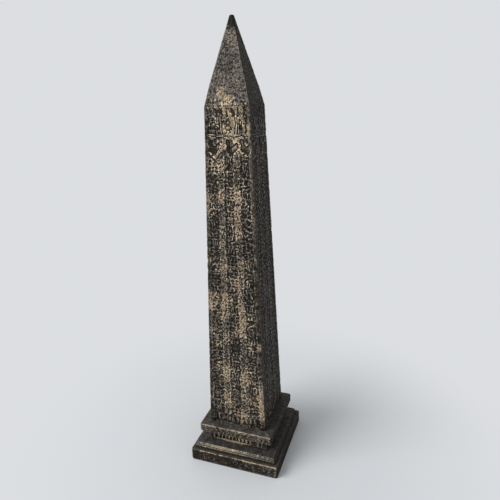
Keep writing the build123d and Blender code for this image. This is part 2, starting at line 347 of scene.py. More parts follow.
BIG_SIGNS = {
    "falcon": [("form", (.3, .8), (.2, .6), (.28, .4), (.48, .27), (.75, .14), (1, 0), (.97, .16),
                (.8, .46), (.56, .78)),
               ("dot", .36, .88, .12), ("bar", (.3, .88), (.16, .8)),
               ("bar", (.46, .3), (.44, .04), (.28, .04)), ("bar", (.6, .24), (.58, .04), (.46, .04)),
               ("cut", (.42, .66), (.58, .42), (.84, .18))],
    "owl": [("form", (.3, .72), (.22, .5), (.3, .26), (.6, .16), (.95, .02), (.86, .3), (.7, .62),
             (.6, .78)),
            ("form", (.16, .82), (.28, 1), (.5, .96), (.7, 1), (.74, .8), (.45, .66)),
            ("bar", (.42, .22), (.4, .02), (.26, .02)), ("cut", (.34, .86), (.36, .84)),
            ("cut", (.54, .86), (.56, .84)), ("cut", (.45, .58), (.6, .4), (.8, .2))],
    "chick": [("form", (.2, .5), (.32, .25), (.62, .2), (.86, .42), (1, .66), (.66, .62), (.4, .7)),
              ("dot", .3, .8, .13), ("bar", (.24, .8), (.08, .76)), ("line", (.5, .55), (.62, .82)),
              ("bar", (.48, .24), (.46, .03), (.3, .03)), ("bar", (.64, .22), (.62, .03))],
    "goose": [("line", (.12, .84), (.24, .95), (.34, .84), (.28, .6), (.36, .46)),
              ("form", (.28, .5), (.34, .28), (.62, .2), (1, .3), (.92, .5), (.6, .6)),
              ("bar", (.5, .24), (.48, .02), (.34, .02)), ("bar", (.64, .22), (.62, .02))],
    "seated_figure": [("dot", .42, .87, .12), ("form", (.3, .72), (.62, .74), (.76, .4), (.95, .1),
                      (.9, 0), (.2, 0), (.14, .12), (.34, .34), (.4, .5)),
                      ("line", (.4, .64), (.14, .6), (.06, .8))],
    "beetle": [("form", (.5, .8), (.8, .62), (.78, .2), (.5, .02), (.22, .2), (.2, .62)),
               ("dot", .5, .88, .14), ("line", (.2, .6), (.02, .75), (.08, .98)),
               ("line", (.8, .6), (.98, .75), (.92, .98)), ("bar", (.2, .3), (0, .1)),
               ("bar", (.8, .3), (1, .1)), ("cut", (.5, .7), (.5, .1))],
    "couching_beast": [("form", (.05, .1), (.3, .0), (.95, .0), (1, .3), (.7, .46), (.42, .5),
                       (.36, .86), (.14, .9), (.08, .62), (.22, .4)),
                       ("line", (.95, .25), (1, .6), (.84, .7))],
    "bull": [("form", (.08, .62), (.2, .75), (.9, .76), (1, .5), (.9, .36), (.3, .38), (.12, .4)),
             ("bar", (.28, .42), (.26, .02)), ("bar", (.42, .4), (.42, .02)),
             ("bar", (.8, .4), (.78, .02)), ("bar", (.93, .4), (.94, .02)),
             ("line", (.02, .98), (.1, .8), (.2, .98))],
    "figure_with_staff": [("dot", .55, .9, .1), ("form", (.38, .78), (.74, .78), (.66, .5), (.78, .26),
                          (.36, .26), (.48, .5)),
                          ("bar", (.48, .28), (.4, .02)), ("bar", (.66, .28), (.76, .02)),
                          ("line", (.42, .74), (.2, .56), (.1, .62)), ("bar", (.08, 0), (.08, 1))],
    "offering_figure": [("dot", .42, .9, .09), ("form", (.3, .79), (.62, .79), (.54, .52), (.34, .52)),
                        ("form", (.36, .54), (.56, .54), (.74, .26), (.24, .28)),
                        ("bar", (.36, .28), (.26, .02), (.12, .02)),
                        ("bar", (.6, .28), (.7, .02), (.56, .02)),
                        ("line", (.34, .76), (.16, .64), (.02, .72)),
                        ("line", (.6, .76), (.4, .62), (.08, .6)), ("dot", .05, .78, .07)],
    "throned_figure": [("block", (.42, 0), (1, 0), (1, .4), (.88, .4), (.88, .28), (.42, .28)),
                       ("dot", .55, .84, .09), ("form", (.48, .9), (.72, .9), (.66, 1), (.56, 1)),
                       ("form", (.44, .72), (.74, .72), (.8, .3), (.5, .3)),
                       ("form", (.22, .38), (.5, .44), (.6, .28), (.2, .26)),
                       ("bar", (.26, .3), (.22, .02), (.08, .02)),
                       ("line", (.46, .68), (.3, .54), (.06, .6)), ("bar", (.06, .1), (.06, .95))],
    "plump_bird": [("form", (.08, .8), (.2, .97), (.36, .9), (.36, .66), (.5, .52), (.76, .62),
                   (.98, .8), (.94, .42), (.7, .16), (.42, .1), (.18, .28), (.16, .6)),
                   ("bar", (.46, .12), (.44, .0), (.3, .0)), ("bar", (.62, .12), (.62, .0))],
}
ALL_SIGNS = {**TALL_SIGNS, **WIDE_SIGNS, **SMALL_SIGNS, **BIG_SIGNS}
UPRIGHT_SIGNS = (*TALL_SIGNS, "falcon", "owl", "beetle")
FILLED = ("form", "block", "dot")
SMOOTH = ("line", "form", "loop", "cut")
STROKE = 0.8                    # width of a carved line
BODY_SHARE = 0.4                # a sign's body is sunk this much of its outline's depth


def carve_sign(field, name, box, depth, turned=False, stroke=STROKE, tilt=0.0, body=BODY_SHARE):
    """Cuts one sign in a box of (left, low, right, high): deep outlines round shallow bodies."""
    left, low, right, high = box
    size = np.array([right - left - stroke, high - low - stroke])
    leaning = np.array([[cos(tilt), sin(tilt)], [-sin(tilt), cos(tilt)]])
    for kind, *points in ALL_SIGNS[name]:
        if kind == "dot":
            x, y, radius = points
            turn = np.linspace(0, 2 * pi, 17)
            around = np.stack([np.cos(turn), np.sin(turn)], axis=1)
            path = np.array([x, y]) * size + around * radius * size.min()
        else:
            path = np.array(points, float) * size
            if kind in SMOOTH:
                path = smooth_path(path, closed=kind in ("form", "loop"))
            if kind in ("loop", "block", "form"):
                path = np.concatenate([path, path[:1]])
        if turned:
            path[:, 0] = size[0] - path[:, 0]
        path = (path - size / 2) @ leaning + size / 2 + np.array([left, low]) + stroke / 2
        field.cut(path, stroke * (0.75 if kind == "cut" else 1), depth)
        if kind in FILLED:
            field.cut(path, 0, depth * body, filled=True)


# =========================================================== carved faces
GROUND = 0.2                    # depth of the sunken ground that the signs are cut into
SIGN_DEPTH = 0.6
SIGN_GAP = 0.35                 # between two rows of signs
SIGN_TILT = 0.22                # usual lean of a sign, in radians
COLUMN_MARGIN = 0.3             # between the signs and their column's edges
LINE_GAP = 0.08                 # share of its place that a sign in a level line leaves each side
FOOT_SIGN_STEP = 4.2            # room for each sign in the foot strip
PANEL_SIGN_STEP = 4.5           # and in the line over the panel's figures
WANDER = ((0.9, 9.0), (0.6, 3.6), (0.22, 1.6))   # how far the cutter strayed, over what length

# chance of each kind of row, its height for a column one wide, and its signs' boxes
SIGN_ROWS = (
    (0.13, 0.50, ((TALL_SIGNS, (0, 0, .22, 1)), (TALL_SIGNS, (.26, 0, .48, 1)),
                  (TALL_SIGNS, (.52, 0, .74, 1)), (TALL_SIGNS, (.78, 0, 1, 1)))),
    (0.13, 0.62, ((BIG_SIGNS, (0, 0, .62, 1)), (SMALL_SIGNS, (.69, .55, 1, 1)),
                  (SMALL_SIGNS, (.69, 0, 1, .45)))),
    (0.12, 0.62, ((SMALL_SIGNS, (0, .55, .31, 1)), (SMALL_SIGNS, (0, 0, .31, .45)),
                  (BIG_SIGNS, (.38, 0, 1, 1)))),
    (0.19, 0.24, ((WIDE_SIGNS, (0, 0, 1, 1)),)),
    (0.13, 0.28, ((SMALL_SIGNS, (0, 0, .29, 1)), (SMALL_SIGNS, (.355, 0, .645, 1)),
                  (SMALL_SIGNS, (.71, 0, 1, 1)))),
    (0.12, 0.60, ((TALL_SIGNS, (0, 0, .25, 1)), (WIDE_SIGNS, (.33, .6, 1, 1)),
                  (SMALL_SIGNS, (.33, 0, .63, .5)), (SMALL_SIGNS, (.7, 0, 1, .5)))),
    (0.10, 0.60, ((SMALL_SIGNS, (0, .54, .3, 1)), (SMALL_SIGNS, (.36, .54, .66, 1)),
                  (WIDE_SIGNS, (0, 0, .66, .44)), (TALL_SIGNS, (.74, 0, 1, 1)))),
    (0.08, 0.84, ((BIG_SIGNS, (.04, 0, .96, 1)),)),
)
ROW_CHANCES = [row[0] for row in SIGN_ROWS]


def pick(rng, signs):
    """The name of a sign, drawn at random."""
    return str(rng.choice(sorted(signs)))


def carve_column(field, rng, column, low, high, turned):
    """Fills a column with rows of signs, from low to high up the face."""
    rows, filled = [], 0
    while filled < high - low:
        left, right = column_edges(column, low + filled)
        _, share, boxes = SIGN_ROWS[rng.choice(len(SIGN_ROWS), p=ROW_CHANCES)]
        rows.append((share * (right - left), boxes))
        filled += rows[-1][0] + SIGN_GAP
    squeeze = (high - low) / filled
    up = low
    for tall, boxes in rows:
        left, right = column_edges(column, up)
        across = right - left - 2 * COLUMN_MARGIN
        left += COLUMN_MARGIN
        tall *= squeeze
        for signs, (a, b, c, d) in boxes:
            box = (left + a * across, up + b * tall, left + c * across, up + d * tall)
            carve_sign(field, pick(rng, signs), box, SIGN_DEPTH * rng.uniform(0.75, 1.15), turned,
                       rng.uniform(0.75, 1.1) * STROKE, rng.normal(0, SIGN_TILT))
        up += tall + SIGN_GAP * squeeze


BIRD_HEIGHT = 13.4
BIRD_WIDTH = 10.8
BIRD_STROKE = 1.2
BIRD_DEPTH = 1.3 * SIGN_DEPTH
BIRD_BODY = 0.62                # its body is sunk this much of its outline's depth
BIRD_HEADROOM = 0.8             # between a bird and the top of its column
BIRD_SHIFTS = (1.0, 2.8, 1.2)   # how far right of its column's middle each one stands


def carve_column_head(field, column):
    """A large deep bird at the top of a column and over its edges."""
    low = COLUMNS_TOP - BIRD_HEIGHT - BIRD_HEADROOM
    left, right = column_edges(column, low)
    middle = (left + right) / 2 + BIRD_SHIFTS[column]
    box = (middle - BIRD_WIDTH / 2, low, middle + BIRD_WIDTH / 2, low + BIRD_HEIGHT)
    carve_sign(field, "plump_bird", box, BIRD_DEPTH, stroke=BIRD_STROKE, body=BIRD_BODY)
    return low - SIGN_GAP


def carve_sign_line(field, rng, low, high, edge, step, signs):
    """A level line of signs from one edge of a face to the other."""
    count = int(2 * edge / step)
    for index in range(count):
        left = -edge + (index + LINE_GAP) * 2 * edge / count
        box = (left, low, left + (1 - 2 * LINE_GAP) * 2 * edge / count, high)
        carve_sign(field, pick(rng, signs), box, SIGN_DEPTH * rng.uniform(0.8, 1.2))


def carve_panel(field, rng):
    """A throned, an offering and a standing figure, with signs between and a line of them over."""
    edge = half_field(PANEL_TOP) - 0.3
    low = PANEL_FOOT + 0.4
    feet, heads = low + 0.6, low + 12.6
    figures = (("throned_figure", -edge, -edge + 10.5, True),
               ("plant", -edge + 10.6, -edge + 12.6, False),
               ("offering_figure", -3.4, 5.6, False),
               ("twist", 5.6, 7.4, False),
               ("figure_with_staff", 7.6, 13.4, False),
               ("pillar", 13.5, edge, False))
    for name, left, right, turned in figures:
        carve_sign(field, name, (left, feet, right, heads), SIGN_DEPTH * 1.2, turned)
    carve_sign_line(field, rng, heads + 0.3, PANEL_TOP + 0.4, edge, PANEL_SIGN_STEP, UPRIGHT_SIGNS)


def nick(field, rng, x, y, size, depth):
    """A short crooked mark."""
    turn = rng.uniform(0, 2 * pi)
    bend = turn + rng.uniform(-1.9, 1.9)
    path = [(x, y), (x + size * cos(turn), y + size * sin(turn)),
            (x + size * (cos(turn) + cos(bend)), y + size * (sin(turn) + sin(bend)))]
    field.cut(smooth_path(path, steps=3), rng.uniform(0.55, 0.85), depth)


NICK_STEP = 1.75                # spacing of the worn marks on bands, borders and margins
NICK_STRAY = 0.85               # how far each lies off its place
NICK_CHANCE = 0.88
BORDER_NICK_CHANCE = 0.2


def carve_worn_marks(field, rng):
    """Crooked marks all over the raised bands and, fewer, on the borders."""
    for up in np.arange(0.8, SLOPE, NICK_STEP):
        for across in np.arange(-half_width(up) + 1.0, half_width(up) - 0.8, NICK_STEP):
            x = across + rng.uniform(-NICK_STRAY, NICK_STRAY)
            y = up + rng.uniform(-NICK_STRAY, NICK_STRAY)
            chance = BORDER_NICK_CHANCE if abs(across) > half_field(up) else NICK_CHANCE
            if rng.random() < chance and not sunken(x, y):
                nick(field, rng, x, y, rng.uniform(0.3, 0.85), rng.uniform(0.28, 0.6))


def carved_face(side):
    """The map of everything carved on one face of the shaft."""
    rng = np.random.default_rng(40 + side)
    field = CarvedField(-FOOT_HALF, 0, FOOT_HALF, SLOPE)
    edge = half_field(COLUMNS_FOOT) - 0.4
    carve_sign_line(field, rng, FOOT_MARGIN + 0.5, COLUMNS_FOOT - 0.6, edge, FOOT_SIGN_STEP,
                    UPRIGHT_SIGNS)
    for column in range(COLUMN_COUNT):
        turned = column < COLUMN_COUNT / 2
        high = carve_column_head(field, column)
        carve_column(field, rng, column, COLUMNS_FOOT + 0.3, high, turned)
    carve_panel(field, rng)
    end, middle = half_field(PANEL_FOOT), COLUMNS_TOP + PANEL_DIVIDER / 2
    field.cut([(-end, middle), (end, middle)], 0.7, 0.75)
    carve_worn_marks(field, rng)
    return field


def squiggles(places, size, seed, width=0.13):
    """Thin crooked broken lines, from 0 to 1, like marks that a mould has half lost."""
    line = 1 - soft_step(np.abs(lumps(places, size, seed)), width * 0.4, width)
    return line * soft_step(lumps(places, size * 1.5, seed + 1), -0.25, 0.1)


PIT_COUNT = 520                 # on each face of the tip
TIP_MARKS = 80                  # worn signs that run on over the shoulder


def pitted_tip(side):
    """Fine pits over one face of the tip, with worn marks just above the shoulder."""
    rng = np.random.default_rng(60 + side)
    field = CarvedField(-SHOULDER_HALF, -SEAM_DROP - 1, SHOULDER_HALF, TIP_SLOPE)
    for _ in range(PIT_COUNT):
        up = TIP_SLOPE * (1 - rng.random() ** 0.5)
        reach = SHOULDER_HALF * (1 - up / TIP_SLOPE)
        across = rng.uniform(-reach, reach)
        nick(field, rng, across, up, rng.uniform(0.05, 0.4), rng.uniform(0.12, 0.34))
    for _ in range(TIP_MARKS):
        up = rng.uniform(-1, 6) * rng.uniform(0.6, 1)
        across = rng.uniform(-1, 1) * SHOULDER_HALF
        nick(field, rng, across, up, rng.uniform(0.3, 0.8), rng.uniform(0.25, 0.5))
    return field


# ================================================================= meshes
class Outline:
    """A half outline, bottom to top, as rows for a square piece.

    Each corner is (half width, level, rounding, cell after it).  half and level
    give the rows, out and rise the direction that each row faces, and rim is 1
    on a rounded corner and fades to 0 beside it.
    """

    def __init__(self, corners):
        points, facing, rims = [], [], []
        spots = np.array([corner[:2] for corner in corners], float)
        along = np.diff(spots, axis=0)
        along /= np.linalg.norm(along, axis=1, keepdims=True)
        start = spots[0]
        for index, (_, _, _, cell) in enumerate(corners[:-1]):
            ahead = along[index]
            stop, radius = spots[index + 1], corners[index + 1][2]
            turn = 0
            if index + 2 < len(corners):
                after = along[index + 1]
                turn = asin(np.clip(ahead[0] * after[1] - ahead[1] * after[0], -1, 1))
            stop = stop - ahead * radius * abs(np.tan(turn / 2))
            count = max(1, ceil(np.linalg.norm(stop - start) / cell))
            share = np.arange(count)[:, None] / count
            points += list(start + share * (stop - start))
            facing += [(ahead[1], -ahead[0])] * count
            if radius and turn:
                side = np.array([-ahead[1], ahead[0]]) * np.sign(turn)
                centre = stop + side * radius
                bends = max(2, ceil(abs(turn) * radius / 0.3))
                for bend in range(bends):
                    angle = turn * bend / bends
                    spoke = np.array([[cos(angle), -sin(angle)], [sin(angle), cos(angle)]]) @ -side
                    points.append(centre + spoke * radius)
                    facing.append(tuple(spoke * np.sign(turn)))
                angle = turn
                spoke = np.array([[cos(angle), -sin(angle)], [sin(angle), cos(angle)]]) @ -side
                rims.append((len(points) - bends / 2, turn > 0))
                start = centre + spoke * radius
            else:
                start = stop
        points.append(start)
        facing.append((along[-1][1], -along[-1][0]))
        rows = np.array(points)
        self.half, self.level = rows.T
        self.out, self.rise = np.array(facing).T
        self.length = np.concatenate([[0], np.cumsum(np.hypot(*np.diff(rows, axis=0).T))])
        self.rim = np.zeros(len(rows))
        for spot, convex in rims:
            if convex:
                middle = np.interp(spot, np.arange(len(rows)), self.length)
                self.rim = np.maximum(self.rim, np.exp(-((self.length - middle) / 0.8) ** 2))


def mesh_lines(marks, cells):
    """Lines across a face: the mark that each follows, and its share of the way to the next."""
    follows, shares = [], []
    for index, (gap, cell) in enumerate(zip(np.diff(marks), cells)):
        count = max(1, ceil(gap / cell - 0.01))
        follows += [index] * count
        shares += list(np.arange(count) / count)
    return np.array(follows + [len(marks) - 2]), np.array(shares + [1.0])


class Face:
    """One side of a square piece as a grid of places, before it is carved."""

    def __init__(self, side, outline, marks, lines, corner):
        follows, shares = lines
        half, level = outline.half[:, None], outline.level[:, None]
        corner = corner[:, None]
        flat = half - corner
        spread = marks[:, follows] * (1 - shares) + marks[:, follows + 1] * shares
        bend = np.clip((np.abs(spread) - flat) / corner, 0, pi / 4) * np.sign(spread)
        self.across = np.clip(spread, -flat, flat) + corner * np.sin(bend)
        self.spread = spread
        self.level = level + 0 * spread
        outward = half - corner * (1 - np.cos(bend))
        turn = np.array(Matrix.Rotation(pi / 2 * side, 3, "Z"))
        places = np.stack([self.across, -outward, self.level], axis=-1)
        facing = np.stack([np.sin(bend) * outline.out[:, None], -np.cos(bend) * outline.out[:, None],
                           outline.rise[:, None] + 0 * spread], axis=-1)
        self.places = places @ turn.T
        self.facing = facing @ turn.T
        self.sideways = np.array([1.0, 0, 0]) @ turn.T
        self.from_corner = flat + corner * pi / 4 - np.abs(spread)

    def moved(self, outward, sideways=0):
        """The grid pushed out along its own facing, in mm."""
        shift = np.asarray(sideways) * soft_step(self.from_corner, 0.3, 2.0)
        return self.places + self.facing * outward[..., None] + self.sideways * shift[..., None]

    def across_share(self):
        """How far each place lies from the left corner to the right one, from 0 to 1."""
        return (self.spread / self.spread.max(axis=1, keepdims=True) + 1) / 2


def corner_radii(outline, corner):
    """The plan rounding of each row: it shrinks as the outline steps inwards."""
    radii = np.clip(corner - (outline.half.max() - outline.half), 0.25, corner)
    return np.minimum(radii, 0.5 * outline.half)


def plain_marks(outline, radii, inner=()):
    """Marks at the bends of each row, with others between them at fixed places."""
    flat = outline.half - radii
    end = flat + radii * pi / 4
    columns = [-end, -flat] + [np.clip(mark, -flat, flat) for mark in inner] + [flat, end]
    return np.stack(columns, axis=1)


def finish_mesh(name, places, faces, uvs, values, material, node):
    """Makes the piece, with its map and its painted values, and puts it on the body."""
    mesh = bpy.data.meshes.new(name)
    mesh.from_pydata((places * MM).tolist(), [], faces)
    smooth = np.array([len(face) == 4 for face in faces])
    mesh.polygons.foreach_set("use_smooth", smooth)
    mesh.uv_layers.new(name=UV_MAP).data.foreach_set("uv", uvs.astype(np.float32).ravel())
    for key, numbers in values.items():
        layer = mesh.attributes.new(key, "FLOAT", "POINT")
        layer.data.foreach_set("value", numbers.astype(np.float32))
    mesh.materials.append(material)
    mesh.update()
    piece = put_in_scene(name, mesh)
    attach(piece, "root")
    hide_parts(node)
    return piece


def grid_cells(rows, columns):
    """Row and column of each cell of a grid of places."""
    row, col = np.meshgrid(np.arange(rows - 1), np.arange(columns - 1), indexing="ij")
    return row.ravel(), col.ravel()


def corner_shares(across, up, row, col):
    """Shares across and up a grid at the four corners of each of its faces."""
    rows = np.stack([row, row, row + 1, row + 1], axis=1)
    cols = np.stack([col, col + 1, col + 1, col], axis=1)
    return across[rows, cols], up[rows]


HIDDEN_STRIP = 0.98             # the map's last strip holds the faces that nobody sees
MAP_INSET = 0.02                # gap left at each side of a field of the map


def inset(share):
    """A share of the way across a field of the map, kept clear of its gaps."""
    return MAP_INSET + (1 - 2 * MAP_INSET) * share


def hidden_uvs(shape):
    """Map places for hidden faces of one size: corners round a small square."""
    turn = 2 * pi * np.arange(shape[1]) / shape[1]
    around = np.stack([0.99 + 0.006 * np.cos(turn), 0.5 + 0.3 * np.sin(turn)], axis=1)
    return np.broadcast_to(around, (shape[0], shape[1], 2)).reshape(-1, 2)


def shares(values):
    """Numbers set to run from 0 to 1."""
    return (values - values.min()) / (values.max() - values.min())


# ------------------------------------------------------------ shaft wedges
MAP_STRIPS = 6                  # a wedge's carved side lies on its map in this many strips
MITRE_CELL = 0.35
FULL_CATCH = 0.43               # relief, in mm, over which the brush goes from missing to full
SEAM_DROP = 0.8                 # the tip is a piece of its own from this far below the shoulder
SEAM_FADE = 0.2                 # carving stops this far from the seam
SWAY = 0.2                      # how far a place on the shaft is shifted sideways
SMOOTH_STRIP = (160, 235)       # heights between which the right border turns smooth and brown
BROWN_CORNERS = (140, 200)      # and between which the brown of the arrises doubles


def shaft_outline():
    """The shaft's side, with a row at each edge of each sunken field."""
    walls = (FOOT_MARGIN, COLUMNS_FOOT, COLUMNS_TOP, PANEL_FOOT, PANEL_TOP)
    stops = [wall + shift for wall in walls for shift in (-WALL, WALL)]
    stops.append(SLOPE - SEAM_DROP / cos(LEAN))
    corners = [(FOOT_HALF, SHAFT_Z, 0, CELL_UP)]
    corners += [(half_width(up), SHAFT_Z + up * cos(LEAN), 0, CELL_UP) for up in stops]
    return Outline(corners)


def shaft_marks(outline, radii):
    """Where the sunken fields begin and end on each row."""
    up = np.clip((outline.level - SHAFT_Z) / cos(LEAN), 0, SLOPE)
    edges = [-half_field(up)]
    for column in range(COLUMN_COUNT - 1):
        edges += [column_edges(column, up)[1], column_edges(column + 1, up)[0]]
    edges.append(half_field(up))
    inner = [edge + shift for edge in edges for shift in (-WALL, WALL)]
    return plain_marks(outline, radii, inner)


def sunken(across, up):
    """1 inside the sunken fields of a face and 0 outside them."""
    field = np.abs(across) < half_field(up)
    strip = (up > FOOT_MARGIN) & (up <= COLUMNS_FOOT)
    panel = (up > PANEL_FOOT) & (up < PANEL_TOP)
    inside = field & (strip | panel)
    for column in range(COLUMN_COUNT):
        left, right = column_edges(column, up)
        inside |= (across > left) & (across < right) & (up > COLUMNS_FOOT) & (up < COLUMNS_TOP)
    return inside.astype(float)


def cast_surface(places, seed, coarse, middle, fine):
    """The uneven skin of a casting: lumps of three sizes, none above the true surface."""
    skin = (coarse * lumps(places, 6.0, seed) + middle * lumps(places, 2.3, seed + 1)
            + fine * lumps(places, 1.05, seed + 2))
    return np.minimum(skin - 0.4 * (coarse + middle + fine), 0)


# Places where handling and the brush left most gold on the front: across the
# face, up the slope, reach and strength.
FRONT_PATCHES = (
    (2, 331, 6, 0.35), (-1, 315, 9, -0.15), (3, 299, 8, 0.1), (0, 284, 6, 1.3),
    (-4, 290, 4, 0.8), (-11, 277, 6, 0.4), (-8, 271, 6, 0.5), (8, 276, 7, 0.8),
    (1, 267, 8, 0.9), (16, 263, 6, 0.8), (-1, 258, 5, 0.7), (9, 254, 7, 0.8),
    (-6, 252, 5, 0.5), (16, 250, 4, 0.5), (-14, 240, 6, 0.6), (-8, 236, 7, 0.6),
    (-8, 213, 5, 0.9), (-19, 206, 10, 0.6), (5, 213, 7, 0.7), (5, 198, 7, 0.35),
    (5, 184, 6, 0.6), (11, 207, 5, 0.4), (-7, 172, 6, 0.4), (-8, 152, 8, 0.6),
    (10, 156, 6, 0.5), (2, 139, 8, 0.6), (12, 140, 5, 0.4), (-22, 121, 9, 0.8),
    (-7, 122, 9, 0.7), (6, 118, 6, 0.7), (9, 104, 6, 0.8), (-12, 108, 6, 0.5),
    (14, 82, 5, 0.8), (2, 96, 6, 0.5), (15, 112, 5, 0.5), (23, 82, 4, 0.8),
    (-9, 56, 9, 0.7), (10, 50, 9, 0.65), (-15, 82, 6, 0.5), (12, 30, 7, 0.6),
    (-8, 26, 9, 0.7), (24, 36, 10, 0.7), (26, 20, 10, 0.8), (5, 10, 9, 0.7),
    (-19, 92, 7, 0.3), (-6, 88, 7, 0.4), (6, 92, 6, 0.5))
PATCH_SHARE = 0.56              # how much a patch of strength 1 adds to what is rubbed
SIDE_PATCH_COUNT = 26
MOST_RUBBED = 0.85
GOLD_AND_SHADE_BY_SIDE = (1.0, 0.2, 0.9, 0.9)        # what each side got of the gold, with painted shade: the right side's small share also darkens it as if in shade
PAINTED_SHADE_BY_SIDE = (0.0, 0.12, 0.0, 0.0)     # painted shade taken off what is rubbed, on tip and pedestal: the right side renders darker as if in shade


def patches_on(side):
    """The golden patches of a side: set ones on the front, and random ones elsewhere."""
    if side == 0:
        return FRONT_PATCHES
    rng = np.random.default_rng(90 + side)
    found = []
    for _ in range(SIDE_PATCH_COUNT):
        up = rng.uniform(5, SLOPE + 20)
        across = rng.uniform(-0.9, 0.9) * half_width(min(up, SLOPE))
        found.append((across, up, rng.uniform(4, 9), rng.uniform(0.4, 0.8)))
    return found


def strayed(places, seed):
    """How far a wandering cutter was off its line at each place."""
    return sum(far * lumps(places, length, seed + index) for index, (far, length) in enumerate(WANDER))


def rubbed_on_face(face, side, across, up):
    """How much each place was brushed and handled, from about 0 to 1."""
    rub = 0.17 + 0.1 * lumps(face.places, 17, 5) + 0.2 * lumps(face.places, 5, 6)
    rub += 0.1 * (1 - sunken(across, up)) * (np.abs(across) < half_field(up))
    rub -= 0.2 * (1 - soft_step(up, 1.5, 5))
    ragged = 1 + 0.45 * lumps(face.places, 4.5, 7)
    for middle, height, reach, strength in patches_on(side):
        off = np.hypot((across - middle), (up - height) * 0.75)
        rub += PATCH_SHARE * strength * (1 - soft_step(off * ragged, reach * 0.2, reach * 1.2))
    return np.minimum(rub, MOST_RUBBED) * GOLD_AND_SHADE_BY_SIDE[side]


def wedge_relief(face, side, outline, up):
    """How far out each place of a carved face lies, and its painted values."""
    kept = np.clip(0.9 + 0.3 * lumps(face.places, 9, 11), 0.55, 1.1)
    on_border = soft_step(np.abs(face.across), half_field(up) - 0.3, half_field(up) + 0.3)
    near_corner = 1 - soft_step(face.from_corner, 0.2, 1.8)
    half_lost = (0.35 - 0.28 * on_border) * squiggles(face.places, 2.1, 12)
    across, rise = face.across + strayed(face.places, 51), up + strayed(face.places, 56)
    carved = carved_face(side).sample(across, rise)
    cuts = np.maximum(carved * kept, half_lost) * (1 - near_corner)
    ground = GROUND * sunken(across, rise) * (1 - soft_step(up, PANEL_TOP - 3, PANEL_TOP))
    clear_of_seam = soft_step(outline.length[-1] - outline.length, 0, SEAM_FADE)[:, None]
    clear_of_foot = soft_step(up, 0, 1.5)
    skin = cast_surface(face.places, 20, 0.08, 0.10, 0.10)
    chips = -0.4 * near_corner * soft_step(lumps(face.places, 4.2, 31), 0.15, 0.75)
    outward = (-ground - cuts) * clear_of_seam + (skin + chips * clear_of_seam) * clear_of_foot
    stands_proud = (outward - blurred(outward, 3)) / FULL_CATCH
    smooth_strip = on_border * (face.across > 0) * soft_step(up, *SMOOTH_STRIP)
    brown_corner = (0.3 + 0.3 * soft_step(up, *BROWN_CORNERS)) * near_corner
    return outward, {"catch": 0.42 * (1 + outward / CARVING_DEPTH) + stands_proud,
                     "rubbed": rubbed_on_face(face, side, across, up),
                     "rim": np.maximum(brown_corner, 0.6 * smooth_strip)}


def wedge_faces(rows, columns, row, col):
    """A wedge's carved grid, its two flat sides, which meet on the axis, and its ends."""
    start = row * columns + col
    quads = np.stack([start, start + 1, start + columns + 1, start + columns], axis=1)
    axis = rows * columns
    low = np.arange(rows - 1)
    left = np.stack([axis + low, low * columns, (low + 1) * columns, axis + low + 1], axis=1)
    right = np.stack([(low + 1) * columns - 1, axis + low, axis + low + 1,
                      (low + 2) * columns - 1], axis=1)
    bottom = [axis] + list(range(columns - 1, -1, -1))
    top = [axis + rows - 1] + list(range(axis - columns, axis))
    return quads.tolist() + left.tolist() + right.tolist() + [bottom, top]


def build_wedge(side, outline, marks, lines, radii, material):
    """One face of the shaft, closed behind by two flat sides."""
    face = Face(side, outline, marks, lines, radii)
    up = (face.level - SHAFT_Z) / cos(LEAN)
    outward, painted = wedge_relief(face, side, outline, up)
    places = face.moved(outward, SWAY * lumps(face.places, 4.0, 41)).reshape(-1, 3)
    rows, columns = up.shape
    axis = np.stack([np.zeros(rows), np.zeros(rows), outline.level], axis=1)
    row, col = grid_cells(rows, columns)
    up_share = shares(outline.length)
    strip = np.minimum(up_share[row] * MAP_STRIPS, MAP_STRIPS - 1).astype(int)[:, None]
    a, b = corner_shares(face.across_share(), up_share, row, col)
    u = HIDDEN_STRIP * (strip + inset(a)) / MAP_STRIPS
    v = 0.01 + 0.97 * (b * MAP_STRIPS - strip)
    uvs = [np.stack([u, v], axis=-1).reshape(-1, 2), hidden_uvs((2 * (rows - 1), 4)),
           hidden_uvs((2, columns + 1))]
    values = {key: np.concatenate([grid.ravel(), np.zeros(rows)]) for key, grid in painted.items()}
    finish_mesh("shaft_" + SIDE_NAMES[side], np.concatenate([places, axis]),
                wedge_faces(rows, columns, row, col), np.concatenate(uvs), values, material,
                "shaft")


def build_shaft(material):
    """The shaft below its tip, as four wedges that meet at the arrises."""
    outline = shaft_outline()
    radii = np.full(len(outline.half), ARRIS_ROUND)
    marks = shaft_marks(outline, radii)
    for side in SIDES:
        cells = np.full(len(marks[0]) - 1, CELL_ACROSS[side])
        cells[[0, -1]] = MITRE_CELL
        build_wedge(side, outline, marks, mesh_lines(marks[0], cells), radii, material)


# -------------------------------------------------------------- square tiers
TIER_SWAY = 0.15                # how far a place on a tier is shifted sideways
MOST_PROUD = 0.2                # a tier's grains catch the brush no more than if they stood this far out


